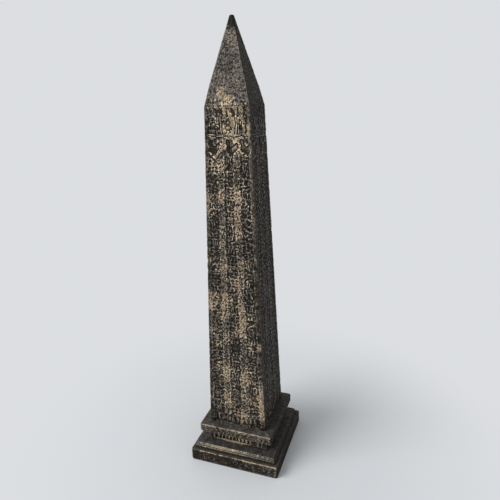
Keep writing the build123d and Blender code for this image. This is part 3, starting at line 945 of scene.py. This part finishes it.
def build_tier(name, outline, radii, cell, inner, carve, material, node):
    """A closed ring of four sides.  carve gives how far out, catch and rubbed for a side."""
    marks = plain_marks(outline, radii, inner)
    widest = marks[np.argmax(outline.half)]
    cells = np.full(len(widest) - 1, cell)
    cells[[0, -1]] = min(cell, 0.4)
    lines = mesh_lines(widest, cells)
    rows, columns = len(outline.half), len(lines[0])
    ring = 4 * (columns - 1)
    places = np.zeros((rows, ring, 3))
    painted = {key: np.zeros((rows, ring)) for key in ("catch", "rubbed", "rim")}
    faces, uvs = [], []
    row, col = grid_cells(rows, columns)
    up_share = shares(outline.length)
    for side in SIDES:
        face = Face(side, outline, marks, lines, radii)
        outward, base_catch, rubbed = carve(face, side)
        start = side * (columns - 1)
        own = slice(start, start + columns - 1)
        places[:, own] = face.moved(outward, TIER_SWAY * lumps(face.places, 4, 43))[:, :-1]
        stands_proud = np.minimum(outward - blurred(outward, 3), MOST_PROUD) / FULL_CATCH
        on_corner = 1 - soft_step(face.from_corner, radii.max() * 0.3, radii.max() + 0.6)
        # painted shade: the right side's small share also dims its handled brown
        handled = (0.4 + 0.6 * GOLD_AND_SHADE_BY_SIDE[side]) * soft_step(rubbed, -0.3, 0)
        rim = handled * np.maximum(outline.rim[:, None], 0.55 * on_corner)
        painted["catch"][:, own] = (base_catch + stands_proud)[:, :-1]
        # painted shade: the right side is taken further from the brush, so it renders darker
        painted["rubbed"][:, own] = rubbed[:, :-1] - PAINTED_SHADE_BY_SIDE[side]
        painted["rim"][:, own] = rim[:, :-1]
        here, ahead = (start + col) % ring, (start + col + 1) % ring
        faces += np.stack([row * ring + here, row * ring + ahead,
                           (row + 1) * ring + ahead, (row + 1) * ring + here], axis=1).tolist()
        a, b = corner_shares(face.across_share(), up_share, row, col)
        uvs.append(np.stack([HIDDEN_STRIP * inset(a), (side + inset(b)) / 4], axis=-1).reshape(-1, 2))
    faces += [list(range(ring - 1, -1, -1)), list(range((rows - 1) * ring, rows * ring))]
    uvs.append(hidden_uvs((2, ring)))
    values = {key: grid.ravel() for key, grid in painted.items()}
    return finish_mesh(name, places.reshape(-1, 3), faces, np.concatenate(uvs), values,
                       material, node)


def build_pedestal_tier(node, outline, corner, cell, inner, carve, material):
    """A cast tier of the pedestal, which takes the place of its part."""
    build_tier(node + "_cast", outline, corner_radii(outline, corner), cell, inner, carve, material,
               node)


SEAT = 1.0                      # how far a tier's hidden ledge runs in under the next one
SEAT_FADE = 0.6                 # its skin is flat at the seat and full this far from it


def seated(outline_length, start, stop):
    """1 on the open part of a tier and 0 where it meets its neighbours."""
    above_seat = soft_step(outline_length, start, start + SEAT_FADE)
    return above_seat * (1 - soft_step(outline_length, stop - SEAT_FADE, stop))


DARK_END = (10.5, 4.0)          # the gold thins out from here to there below the tip's end
TIP_CATCH_AND_SHADE = (0.49, 0.41, 0.49, 0.49)       # how much of the brush each side of the tip catches; the right side's lower value is painted shade


def build_tip(material):
    """The pyramid over the shoulder, with a slight knee and a rounded end."""
    start = SHOULDER_Z - SEAM_DROP
    outline = Outline([(half_width(SLOPE - SEAM_DROP / cos(LEAN)), start, 0, 0.4),
                       (SHOULDER_HALF, SHOULDER_Z, 2.5, 0.5),
                       (KNEE_HALF, SHOULDER_Z + KNEE_RISE, 9.0, 0.5),
                       (TIP_END_HALF, END_Z, TIP_END_ROUND, 0.3), (0.1, END_Z, 0, 1)])
    outline.rim = 0 * outline.rim
    toward_end = shares(np.clip(outline.level, SHOULDER_Z, None))
    radii = np.minimum(ARRIS_ROUND + (TIP_END_CORNER - ARRIS_ROUND) * toward_end, 0.8 * outline.half)
    from_end = outline.length[-1] - outline.length[:, None]

    def carve(face, side):
        above = face.level - SHOULDER_Z
        pits = pitted_tip(side).sample(face.across, above / cos(TIP_LEAN))
        skin = cast_surface(face.places, 20, 0.06, 0.07, 0.09)
        lost = 0.3 * squiggles(face.places, 2.1, 12) * (1 - soft_step(above, 1, 5))
        on_face = soft_step(face.from_corner, 0.2, 1.2)
        clear_of_seam = soft_step(face.level, start, start + SEAM_FADE)
        outward = skin - np.maximum(pits, lost) * on_face * clear_of_seam
        outward = outward * soft_step(from_end, 1.0, 4.0)
        rub = 0.1 + 0.6 * rubbed_on_face(face, side, face.across, SLOPE + above / cos(TIP_LEAN))
        ragged_end = above + 2.5 * lumps(face.places, 2.5, 44)
        rub = rub - 0.8 * soft_step(ragged_end, TIP_HEIGHT - DARK_END[0], TIP_HEIGHT - DARK_END[1])
        return outward, TIP_CATCH_AND_SHADE[side], rub

    build_tier("shaft_tip", outline, radii, 0.5, (), carve, material, "shaft")


CAP_CORNER, CAP_BOTTOM_EDGE, CAP_TOP_EDGE = 2.2, 1.8, 1.2
FOOT_BAND_OUT = 0.8             # how far the neck's low foot band stands out past its wall


def build_cap(material):
    """The thick slab under the shaft: crumbly upright sides and smooth ledges."""
    half, bottom, top = tier_sizes("pedestal_cap")
    neck_half = tier_sizes("pedestal_neck")[0] - FOOT_BAND_OUT
    outline = Outline([(neck_half - SEAT, bottom, 0, 0.6), (half, bottom, CAP_BOTTOM_EDGE, 0.36),
                       (half, top, CAP_TOP_EDGE, 0.45), (FOOT_HALF - SEAT, top, 0, 1)])
    open_part = seated(outline.length, SEAT, outline.length[-1] - SEAT)[:, None]

    def carve(face, side):
        upright = outline.out[:, None] > 0.7
        smooth = cast_surface(face.places, 50, 0.08, 0.05, 0.03)
        crumbly = 0.32 * lumps(face.places, 1.1, 53) + 0.06 * lumps(face.places, 3, 54) - 0.1
        outward = np.where(upright, np.minimum(crumbly, 0), smooth) * open_part
        rub = 0.24 + 0.16 * lumps(face.places, 13, 55) + 0.1 * lumps(face.places, 4, 56)
        rub = rub - 0.12 * (outline.rise[:, None] > 0.7)
        top_rim = outline.rim[:, None] * (face.level > top - 3)
        rub = rub + 0.3 * top_rim * (0.7 + lumps(face.places, 5, 57))
        return outward, np.where(upright, 0.42, 0.4), rub * GOLD_AND_SHADE_BY_SIDE[side]

    build_pedestal_tier("pedestal_cap", outline, CAP_CORNER, 0.5, (), carve, material)


FOOT_BAND_HEIGHT, NECK_CORNER = 1.4, 0.8
CORNER_BLOCK, SLOT_WIDTH, SLOT_DEPTH = 6.0, 1.3, 2.4
FRIEZE_DEPTH, FRIEZE_TOP_BAND = 0.9, 0.9
FRIEZE_SIGNS = 12               # on each side
FRIEZE_KINDS = ("feather", "lotus", "plant", "reed", "vase")
WORN_OFF = 12.5                 # the front frieze is worn away beyond this, to the right


def carved_frieze(side, half, low, high):
    """How high the frieze's row of tall narrow signs stands above its ground."""
    rng = np.random.default_rng(70 + side)
    field = CarvedField(-half, low, half, high)
    edge = half - SLOT_WIDTH - 0.6
    step = 2 * edge / FRIEZE_SIGNS
    for index in range(FRIEZE_SIGNS):
        left = -edge + index * step
        box = (left + 0.05, low + 0.25, left + step - 0.05, high - 0.25)
        carve_sign(field, pick(rng, FRIEZE_KINDS), box, 0.8, side % 2 == 1, 0.75, body=0.9)
    return field


def build_neck(material):
    """The recessed block with its foot band, sunken friezes and upright slots."""
    half, bottom, top = tier_sizes("pedestal_neck")
    wall = half - FOOT_BAND_OUT
    shelf = bottom + FOOT_BAND_HEIGHT
    frieze_half, frieze_top = wall - CORNER_BLOCK, top - FRIEZE_TOP_BAND
    outline = Outline([(wall - SEAT, bottom, 0, 1), (half, bottom, 0, 0.4), (half, shelf, 0.3, 0.4),
                       (wall, shelf, 0, 0.22), (wall, shelf + 0.01, 0, 0.2), (wall, shelf + WALL, 0, 0.36),
                       (wall, frieze_top - WALL, 0, 0.3), (wall, frieze_top + WALL, 0, 0.4),
                       (wall, top, 0, 1), (wall - SEAT, top, 0, 1)])
    open_part = seated(outline.length, SEAT + FOOT_BAND_OUT, outline.length[-1] - SEAT)[:, None]
    edges = (frieze_half, frieze_half - SLOT_WIDTH)
    inner = sorted(hand * edge + shift
                   for hand in (-1, 1) for edge in edges for shift in (-WALL, WALL))

    def carve(face, side):
        across = np.abs(face.across)
        tall = (face.level > shelf + 0.05) & (face.level < frieze_top)
        field = tall & (across < frieze_half - SLOT_WIDTH)
        if side == 0:
            field &= face.across < WORN_OFF
        slot = tall & (across > frieze_half - SLOT_WIDTH) & (across < frieze_half)
        signs = carved_frieze(side, frieze_half, shelf, frieze_top).sample(face.across, face.level)
        skin = cast_surface(face.places, 80, 0.06, 0.10, 0.08)
        outward = (skin + (signs - FRIEZE_DEPTH) * field - SLOT_DEPTH * slot) * open_part
        rub = 0.18 + 0.15 * lumps(face.places, 7, 83)
        # painted light: the frieze's upper part is made lighter against the shade under the cap
        rub = rub + 0.15 * soft_step(face.level, shelf + 3, frieze_top)
        rub = rub + 0.45 * (side == 0) * np.exp(-((face.across + 4) / 15) ** 4)
        beside_slot = 1 - soft_step(np.abs(across - frieze_half + SLOT_WIDTH / 2), 0.8, 1.6)
        catch = 0.42 * (1 + 0.75 * outward / FRIEZE_DEPTH)
        catch = catch - 0.3 * (face.level < shelf + 0.4) - 0.3 * beside_slot
        return outward, catch, rub * GOLD_AND_SHADE_BY_SIDE[side]

    build_pedestal_tier("pedestal_neck", outline, NECK_CORNER, 0.45, inner, carve, material)


STEP_LOWER_BAND, STEP_QUIRK, STEP_QUIRK_DEPTH = 2.7, 0.6, 0.5
STEP_SLOPE = 0.52               # sideways spread for each unit of height
STEP_CORNER, STEP_TOP_EDGE = 1.8, 0.7


def build_step(material):
    """The sloping moulding: two bands with a quirk between them."""
    half, bottom, top = tier_sizes("pedestal_step")
    neck_half = tier_sizes("pedestal_neck")[0]
    quirk, upper = bottom + STEP_LOWER_BAND, bottom + STEP_LOWER_BAND + STEP_QUIRK
    top_half = half - STEP_SLOPE * (top - bottom)

    def half_at(level):
        return top_half + STEP_SLOPE * (top - level)

    groove = half_at(upper) - STEP_QUIRK_DEPTH
    outline = Outline([(half - 2, bottom, 0, 1), (half, bottom, 0.3, 0.34),
                       (half_at(quirk), quirk, 0.35, 0.3), (groove, quirk, 0, 0.3),
                       (groove, upper, 0, 0.3), (half_at(upper), upper, 0.3, 0.34),
                       (top_half, top, STEP_TOP_EDGE, 0.45), (neck_half - SEAT, top, 0, 1)])
    open_part = seated(outline.length, 2, outline.length[-1] - SEAT)[:, None]

    def carve(face, side):
        skin = cast_surface(face.places, 100, 0.06, 0.10, 0.22)
        outward = skin * open_part
        lower = face.level < quirk - 0.5
        flat = outline.rise[:, None] > 0.95
        middle = np.exp(-((face.across + 6) / 17) ** 2) * (side == 0)
        rub = 0.16 - 0.25 * lower - 0.5 * flat + 0.18 * lumps(face.places, 9, 103)
        rub = rub + 0.24 * middle * ~flat * ~lower
        return outward, 0.3 + 0.2 * (~flat * ~lower), rub * GOLD_AND_SHADE_BY_SIDE[side]

    build_pedestal_tier("pedestal_step", outline, STEP_CORNER, 0.5, (), carve, material)


PLINTH_CORNER, PLINTH_TOP_EDGE, PLINTH_FOOT_EDGE = 2.4, 1.0, 0.4


def worn_plinth_face(side, half, low, high):
    """Low, half lost marks along one side of the plinth."""
    rng = np.random.default_rng(110 + side)
    field = CarvedField(-half, low, half, high)
    signs = sorted({**SMALL_SIGNS, **WIDE_SIGNS, **TALL_SIGNS})
    left = -half + 4
    while left < half - 14:
        wide = rng.uniform(2.6, 5.5)
        bottom = low + rng.uniform(1.6, 3.0)
        box = (left, bottom, left + wide, bottom + rng.uniform(4.2, 5.8))
        carve_sign(field, pick(rng, signs), box, rng.uniform(0.25, 0.5))
        left += wide + rng.uniform(0.5, 1.4)
    return field


def build_plinth(material):
    """The broad slab at the foot."""
    half, bottom, top = tier_sizes("pedestal_plinth")
    step_half = tier_sizes("pedestal_step")[0]
    outline = Outline([(half - 3, bottom, 0, 1.5), (half, bottom, PLINTH_FOOT_EDGE, 0.4),
                       (half, top, PLINTH_TOP_EDGE, 0.4), (step_half - SEAT, top, 0, 1)])
    open_part = seated(outline.length, 2.7, outline.length[-1] - SEAT)[:, None]

    def carve(face, side):
        upright = outline.out[:, None] > 0.9
        marks = worn_plinth_face(side, half, bottom, top).sample(face.across, face.level)
        keep = soft_step(half - np.abs(face.across), 3, 6)
        keep = keep * soft_step(lumps(face.places, 9, 121), -0.6, 0.3)
        skin = cast_surface(face.places, 120, 0.14, 0.16, 0.14)
        outward = (skin - marks * keep * upright) * open_part
        rub = 0.15 + 0.25 * lumps(face.places, 10, 123)
        top_rim = outline.rim[:, None] * (face.level > top - 3)
        rub = rub + 0.5 * top_rim * (0.7 + lumps(face.places, 4, 125))
        rub = rub + 0.2 * (side == 0) * soft_step(face.across, -10, 25)
        # painted shade: the right side is taken down further, so it renders darker
        rub = rub - 0.2 * (outline.rise[:, None] > 0.9) - 0.15 * (side == 1)
        return outward, 0.22, rub * GOLD_AND_SHADE_BY_SIDE[side]

    build_pedestal_tier("pedestal_plinth", outline, PLINTH_CORNER, 0.5, (), carve, material)


FELT_CORNER = 2.1


def build_felt(material):
    """The thin pad glued under the plinth, fuzzy at its edge."""
    half, bottom, top = tier_sizes("felt_pad")
    outline = Outline([(half - 2, bottom, 0, 0.7), (half, bottom, 0.25, 0.2), (half, top, 0.2, 0.3),
                       (half - 2, top, 0, 1)])
    open_part = seated(outline.length, 1.2, outline.length[-1] - 1.2)[:, None]

    def carve(face, side):
        fuzz = 0.05 * lumps(face.places, 0.9, 130) + 0.07 * lumps(face.places, 3, 131) - 0.08
        return fuzz * open_part, 0, 0 * face.across

    felt = build_tier("felt_sheet", outline, corner_radii(outline, FELT_CORNER), 0.8, (), carve, material,
                      "felt_pad")


# =============================================================== materials
def add_node(tree, kind, settings=None, inputs=None):
    """A new node.  Each input is given by name or number, as a value or a node's output."""
    made = tree.nodes.new("ShaderNode" + kind)
    for key, value in (settings or {}).items():
        setattr(made, key, value)
    for key, value in (inputs or {}).items():
        if isinstance(value, bpy.types.NodeSocket):
            tree.links.new(value, made.inputs[key])
        else:
            made.inputs[key].default_value = value
    return made


def maths(tree, operation, first, second=0.0, clamp=False):
    """A sum or product of two numbers, each a value or a node's output."""
    made = add_node(tree, "Math", {"operation": operation, "use_clamp": clamp}, {0: first, 1: second})
    return made.outputs[0]


def ramp(tree, value, low, high):
    """0 below low, 1 above high, and a smooth rise between."""
    made = add_node(tree, "MapRange", {"interpolation_type": "SMOOTHSTEP"},
                    {"Value": value, "From Min": low, "From Max": high})
    return made.outputs["Result"]


def blend(tree, share, first, second):
    """A colour between two others."""
    made = add_node(tree, "Mix", {"data_type": "RGBA"}, {0: share, 6: first, 7: second})
    return made.outputs[2]


def speckle(tree, scale, detail=2.0, roughness=0.5):
    """Noise about 0, with lumps of 1 / scale metres."""
    where = add_node(tree, "TexCoord").outputs["Object"]
    made = add_node(tree, "TexNoise", None, {"Vector": where, "Scale": scale, "Detail": detail,
                                             "Roughness": roughness})
    return maths(tree, "SUBTRACT", made.outputs["Fac"], 0.5)


def new_group(name, inputs, outputs):
    """An empty node group, with its inputs and outputs as (name, kind, default)."""
    group = bpy.data.node_groups.new(name, "ShaderNodeTree")
    for label, kind, default in inputs:
        socket = group.interface.new_socket(label, in_out="INPUT", socket_type="NodeSocket" + kind)
        socket.default_value = default
    for label, kind in outputs:
        group.interface.new_socket(label, in_out="OUTPUT", socket_type="NodeSocket" + kind)
    return group, group.nodes.new("NodeGroupInput").outputs, group.nodes.new("NodeGroupOutput")


def use_group(tree, group, **inputs):
    """Places a node group with its own values, and gives its outputs."""
    made = add_node(tree, "Group", {"node_tree": group})
    for label, value in inputs.items():
        socket = made.inputs[label.replace("_", " ").capitalize()]
        if isinstance(value, bpy.types.NodeSocket):
            tree.links.new(value, socket)
        else:
            socket.default_value = value
    return made.outputs


def new_material(name):
    """A material, its node tree and its shader."""
    material = bpy.data.materials.new(name)
    material.use_nodes = True
    tree = material.node_tree
    return material, tree, tree.nodes["Principled BSDF"]


BRUSH_SPECKLE = (1050, 3.0, 0.65)          # scale, detail and roughness
BRUSH_BREAK = 1.15                         # how strongly the speckle breaks the paint up
RIM_CATCH = 0.25                           # how much more of it a rounded edge catches


def make_dry_brush():
    """Where a nearly dry brush left paint: on what stands proud, in patches, and speckled; the same mask
    also places the painted glints.
    """
    group, given, out = new_group(
        "dry_brush",
        [("Catch", "Float", 0.5), ("Rubbed", "Float", 0.3), ("Rim", "Float", 0.0),
         ("Load", "Float", 0.0), ("Low", "Float", 0.9), ("High", "Float", 1.3)],
        [("Paint", "Float")])
    grain = maths(group, "MULTIPLY", speckle(group, *BRUSH_SPECKLE), BRUSH_BREAK)
    reach = maths(group, "ADD", given["Catch"], given["Rubbed"])
    reach = maths(group, "ADD", reach, maths(group, "MULTIPLY", given["Rim"], RIM_CATCH))
    reach = maths(group, "ADD", maths(group, "ADD", reach, grain), given["Load"])
    group.links.new(ramp(group, reach, given["Low"], given["High"]), out.inputs["Paint"])
    return group


def make_cast_grain():
    """The fine grain and pinholes of a casting, finer than its mesh."""
    group, given, out = new_group(
        "cast_grain", [("Scale", "Float", 1.0), ("Pinholes", "Float", 0.5)],
        [("Height", "Float"), ("Holes", "Float")])
    where = add_node(group, "TexCoord").outputs["Object"]
    fine = add_node(group, "TexNoise", None,
                    {"Vector": where, "Scale": maths(group, "MULTIPLY", given["Scale"], 1900),
                     "Detail": 3.0, "Roughness": 0.6})
    cells = add_node(group, "TexVoronoi", None,
                     {"Vector": where, "Scale": maths(group, "MULTIPLY", given["Scale"], 620)})
    hole = maths(group, "SUBTRACT", 1.0, ramp(group, cells.outputs["Distance"], 0.1, 0.42))
    hole = maths(group, "MULTIPLY", hole, given["Pinholes"])
    height = maths(group, "SUBTRACT", fine.outputs["Fac"], hole)
    group.links.new(height, out.inputs["Height"])
    group.links.new(hole, out.inputs["Holes"])
    return group


def make_settled_dust():
    """Fine pale dust that lies where the surface faces up, with painted sheen on those faces too."""
    group, given, out = new_group("dust_and_sheen_mask", [("Amount", "Float", 0.3)], [("Dust", "Float")])
    normal = add_node(group, "NewGeometry").outputs["Normal"]
    upward = add_node(group, "SeparateXYZ", None, {"Vector": normal}).outputs["Z"]
    lying = ramp(group, upward, 0.55, 0.95)
    patchy = ramp(group, speckle(group, 260, 4.0, 0.7), -0.35, 0.4)
    dust = maths(group, "MULTIPLY", maths(group, "MULTIPLY", lying, patchy), given["Amount"])
    group.links.new(dust, out.inputs["Dust"])
    return group


GOLD_REACH = (0.85, 1.25)       # the brush's reach at which gold begins and is full
GOLD_LOAD = -0.09
GOLD_RUBBING = 1.25             # gold follows the rubbing more than the wash does
# reach of the grey wash, which also stands in for painted glints on ridges
WASH_AND_GLINT_REACH = (0.5, 1.0)
# reach at which the painted highlights on the crests begin and are full
PAINTED_GLINT_REACH = (1.0, 1.5)

BLACK_PATINA = (0.0095, 0.0075, 0.005, 1)
BROWN_PATINA = (0.026, 0.019, 0.012, 1)
WORN_BROWN = (0.080, 0.052, 0.030, 1)
# a grey wash that also stands in for painted glints on the ridges
STONE_WASH_AND_GLINT = (0.158, 0.140, 0.120, 1)
DEEP_GOLD = (0.265, 0.190, 0.113, 1)
PALE_GOLD = (0.425, 0.328, 0.216, 1)
# painted highlight: pale gold glints on the crests
PAINTED_GLINT_GOLD = (0.74, 0.655, 0.50, 1)
THIN_GOLD = (0.21, 0.186, 0.156, 1)         # where the brush hardly touched
# painted highlight: greyer glints where the brush hardly touched
PAINTED_GLINT_GREY = (0.46, 0.42, 0.36, 1)
DUST_AND_SHEEN_GREY = (0.30, 0.29, 0.275, 1)


def worn_gold(name, groups, load, wash, handling, dust, pinholes):
    """Black patina, a grey-brown wash over it, and gold dry-brushed on top; the wash also stands in for
    painted glints, pale painted highlights sit on the crests, and dust with painted sheen lies on what
    faces up.
    """
    brush, grain, dust_and_sheen_group = groups
    material, tree, shader = new_material(name)

    def painted(key):
        return add_node(tree, "Attribute", {"attribute_name": key}).outputs["Fac"]

    def brushed_on(rubbing, edges, paint, reach):
        return use_group(tree, brush, catch=catch, rubbed=rubbing, rim=edges, load=paint,
                         low=reach[0], high=reach[1])["Paint"]

    catch, rubbed, rim = painted("catch"), painted("rubbed"), painted("rim")
    gold = brushed_on(maths(tree, "MULTIPLY", rubbed, GOLD_RUBBING), rim, load + GOLD_LOAD, GOLD_REACH)
    # grey wash on ridges, partly a real wash and partly painted glints
    wash_and_glint = brushed_on(rubbed, rim, wash, WASH_AND_GLINT_REACH)
    skin = use_group(tree, grain, scale=1.0, pinholes=pinholes)
    dust_and_sheen = use_group(tree, dust_and_sheen_group, amount=dust)["Dust"]
    brown = maths(tree, "ADD", speckle(tree, 170, 4.0, 0.6), maths(tree, "MULTIPLY", rubbed, 0.5))
    base = blend(tree, ramp(tree, brown, -0.04, 0.21), BLACK_PATINA, BROWN_PATINA)
    handled = blend(tree, maths(tree, "MULTIPLY", rim, handling), base, WORN_BROWN)
    washed_and_glinting = blend(tree, wash_and_glint, handled, STONE_WASH_AND_GLINT)
    gilding = blend(tree, ramp(tree, speckle(tree, 210, 3.0, 0.6), -0.12, 0.12), DEEP_GOLD, PALE_GOLD)
    brushed = ramp(tree, rubbed, 0.1, 0.5)
    gilding = blend(tree, brushed, THIN_GOLD, gilding)
    colour = blend(tree, gold, washed_and_glinting, gilding)
    # painted highlights: pale glints on the highest crests, greyer where the brush hardly touched
    painted_glint = brushed_on(maths(tree, "MULTIPLY", gold, 0.35), 0.0, load, PAINTED_GLINT_REACH)
    colour = blend(tree, painted_glint, colour, blend(tree, brushed, PAINTED_GLINT_GREY, PAINTED_GLINT_GOLD))
    colour = blend(tree, maths(tree, "MULTIPLY", skin["Holes"], 0.7), colour, BLACK_PATINA)
    # dust and painted sheen: pale grey on what faces up
    colour = blend(tree, dust_and_sheen, colour, DUST_AND_SHEEN_GREY)
    tree.links.new(colour, shader.inputs["Base Color"])
    rough = maths(tree, "ADD", maths(tree, "MULTIPLY", gold, -0.05), 0.48)
    rough = maths(tree, "ADD", rough, maths(tree, "MULTIPLY", speckle(tree, 700, 2.0), 0.2))
    tree.links.new(maths(tree, "ADD", rough, maths(tree, "MULTIPLY", dust_and_sheen, 0.2)),
                   shader.inputs["Roughness"])
    tree.links.new(maths(tree, "MULTIPLY", gold, 0.3), shader.inputs["Metallic"])
    bump = add_node(tree, "Bump", None, {"Strength": 0.7, "Distance": 0.00012, "Height": skin["Height"]})
    tree.links.new(bump.outputs["Normal"], shader.inputs["Normal"])
    shader.inputs["Specular IOR Level"].default_value = 0.08
    return material


FELT_DARK = (0.010, 0.010, 0.011, 1)
FELT_LIGHT = (0.035, 0.034, 0.034, 1)


def felt_material():
    """Black felt, with fibres, tufts and a slight sheen."""
    material, tree, shader = new_material("black_felt")
    fibres = speckle(tree, 2400, 4.0, 0.75)
    tufts = speckle(tree, 350, 3.0, 0.6)
    mixed = maths(tree, "ADD", fibres, maths(tree, "MULTIPLY", tufts, 0.5))
    colour = blend(tree, ramp(tree, mixed, -0.2, 0.25), FELT_DARK, FELT_LIGHT)
    tree.links.new(colour, shader.inputs["Base Color"])
    tree.links.new(maths(tree, "ADD", maths(tree, "MULTIPLY", tufts, 0.1), 0.93),
                   shader.inputs["Roughness"])
    bump = add_node(tree, "Bump", None, {"Strength": 0.8, "Distance": 0.0002, "Height": fibres})
    tree.links.new(bump.outputs["Normal"], shader.inputs["Normal"])
    shader.inputs["Sheen Weight"].default_value = 0.3
    shader.inputs["Specular IOR Level"].default_value = 0.2
    return material


# ===================================================== camera, floor, light
CAMERA_AIM = Vector((0.0083, 0.0, 0.1983))
CAMERA_DISTANCE = 0.3895
CAMERA_AZIMUTH = radians(19.98)
CAMERA_ELEVATION = radians(17.58)
CAMERA_ROLL = radians(-1.93)
SENSOR = 36.0
LENS = 32.48


def make_camera():
    """Looks slightly down on the front, with the right side in view."""
    data = bpy.data.cameras.new("camera")
    data.sensor_width = SENSOR
    data.lens = LENS
    data.clip_start = 0.01
    camera = put_in_scene("camera", data)
    back = direction(CAMERA_AZIMUTH, CAMERA_ELEVATION)
    right = Vector((0, 0, 1)).cross(back).normalized()
    up = back.cross(right)
    turned_right = right * cos(CAMERA_ROLL) + up * sin(CAMERA_ROLL)
    turned_up = up * cos(CAMERA_ROLL) - right * sin(CAMERA_ROLL)
    basis = Matrix((turned_right, turned_up, back)).transposed().to_4x4()
    basis.translation = CAMERA_AIM + back * CAMERA_DISTANCE
    camera.matrix_world = basis
    bpy.context.scene.camera = camera


FLOOR_COLOUR = (0.675, 0.69, 0.708, 1)
BACKGROUND_COLOUR = (0.715, 0.73, 0.755, 1)
ROOM_COLOUR = (0.95, 0.98, 1.0, 1)
ROOM_STRENGTH = 0.5
FLOOR_REACH = 4.0
FLOOR_EDGES = 96
FLOOR_FADES = (0.05, 0.28)      # the camera sees the floor turn into the background over this stretch


def seen_directly(tree):
    """1 for the camera's own rays and for those that reach it by reflection."""
    rays = add_node(tree, "LightPath").outputs
    seen = maths(tree, "ADD", rays["Is Camera Ray"], rays["Is Glossy Ray"])
    return maths(tree, "ADD", seen, rays["Is Transmission Ray"], clamp=True)


def make_floor():
    """A plain pale round table top, level with the felt's underside."""
    data = bpy.data.meshes.new("floor")
    around = [2 * pi * i / FLOOR_EDGES for i in range(FLOOR_EDGES)]
    edge = [(FLOOR_REACH * cos(a), FLOOR_REACH * sin(a), cad_low[2]) for a in around]
    data.from_pydata(edge, [], [list(range(len(edge)))])
    material, tree, shader = new_material("pale_floor")
    cloudy = blend(tree, ramp(tree, speckle(tree, 3, 3.0), -0.3, 0.3), FLOOR_COLOUR,
                   tuple(0.985 * c for c in FLOOR_COLOUR[:3]) + (1,))
    tree.links.new(cloudy, shader.inputs["Base Color"])
    shader.inputs["Roughness"].default_value = 0.45
    shader.inputs["Specular IOR Level"].default_value = 0.25
    where = add_node(tree, "TexCoord").outputs["Object"]
    away = add_node(tree, "VectorMath", {"operation": "LENGTH"}, {0: where}).outputs["Value"]
    share = maths(tree, "MULTIPLY", ramp(tree, away, *FLOOR_FADES), seen_directly(tree))
    pale = add_node(tree, "Emission", None, {"Color": BACKGROUND_COLOUR, "Strength": 1.0})
    mixed = add_node(tree, "MixShader", None, {0: share, 1: shader.outputs[0], 2: pale.outputs[0]})
    tree.links.new(mixed.outputs[0], tree.nodes["Material Output"].inputs["Surface"])
    data.materials.append(material)
    floor = put_in_scene("floor", data)


def make_world():
    """Soft even room light; the camera and reflections see a pale background."""
    world = bpy.data.worlds.new("room")
    world.use_nodes = True
    tree = world.node_tree
    room = tree.nodes["Background"]
    room.inputs["Color"].default_value = ROOM_COLOUR
    room.inputs["Strength"].default_value = ROOM_STRENGTH
    pale = add_node(tree, "Background", None, {"Color": BACKGROUND_COLOUR, "Strength": 1.0})
    mixed = add_node(tree, "MixShader", None,
                     {0: seen_directly(tree), 1: room.outputs[0], 2: pale.outputs[0]})
    tree.links.new(mixed.outputs[0], tree.nodes["World Output"].inputs["Surface"])
    bpy.context.scene.world = world


def make_lamp(name, azimuth, elevation, distance, size, watts):
    """A soft square lamp that faces the middle of the object."""
    data = bpy.data.lights.new(name, "AREA")
    data.shape = "SQUARE"
    data.size = size
    data.energy = watts
    lamp = put_in_scene(name, data)
    middle = Vector((0, 0, (cad_low[2] + cad_high[2]) / 2))
    toward = direction(azimuth, elevation)
    lamp.location = middle + toward * distance
    lamp.rotation_euler = toward.to_track_quat("Z", "Y").to_euler()


make_camera()
make_floor()
make_world()
make_lamp("window", azimuth=radians(-48), elevation=radians(36), distance=2.4, size=1.6, watts=54.0)
groups = (make_dry_brush(), make_cast_grain(), make_settled_dust())
shaft_gold = worn_gold("worn_gold_shaft", groups, load=0.0, wash=0.0, handling=1.0, dust=0.1,
                       pinholes=0.5)
tip_gold = worn_gold("worn_gold_tip", groups, load=-0.04, wash=-0.01, handling=0.8, dust=0.1,
                     pinholes=1.0)
pedestal_gold = worn_gold("worn_gold_pedestal", groups, load=0.06, wash=0.0, handling=0.3, dust=0.3,
                          pinholes=0.5)
build_shaft(shaft_gold)
build_tip(tip_gold)
build_cap(pedestal_gold)
build_neck(pedestal_gold)
build_step(pedestal_gold)
build_plinth(pedestal_gold)
build_felt(felt_material())

bpy.context.scene.view_settings.view_transform = "Standard"
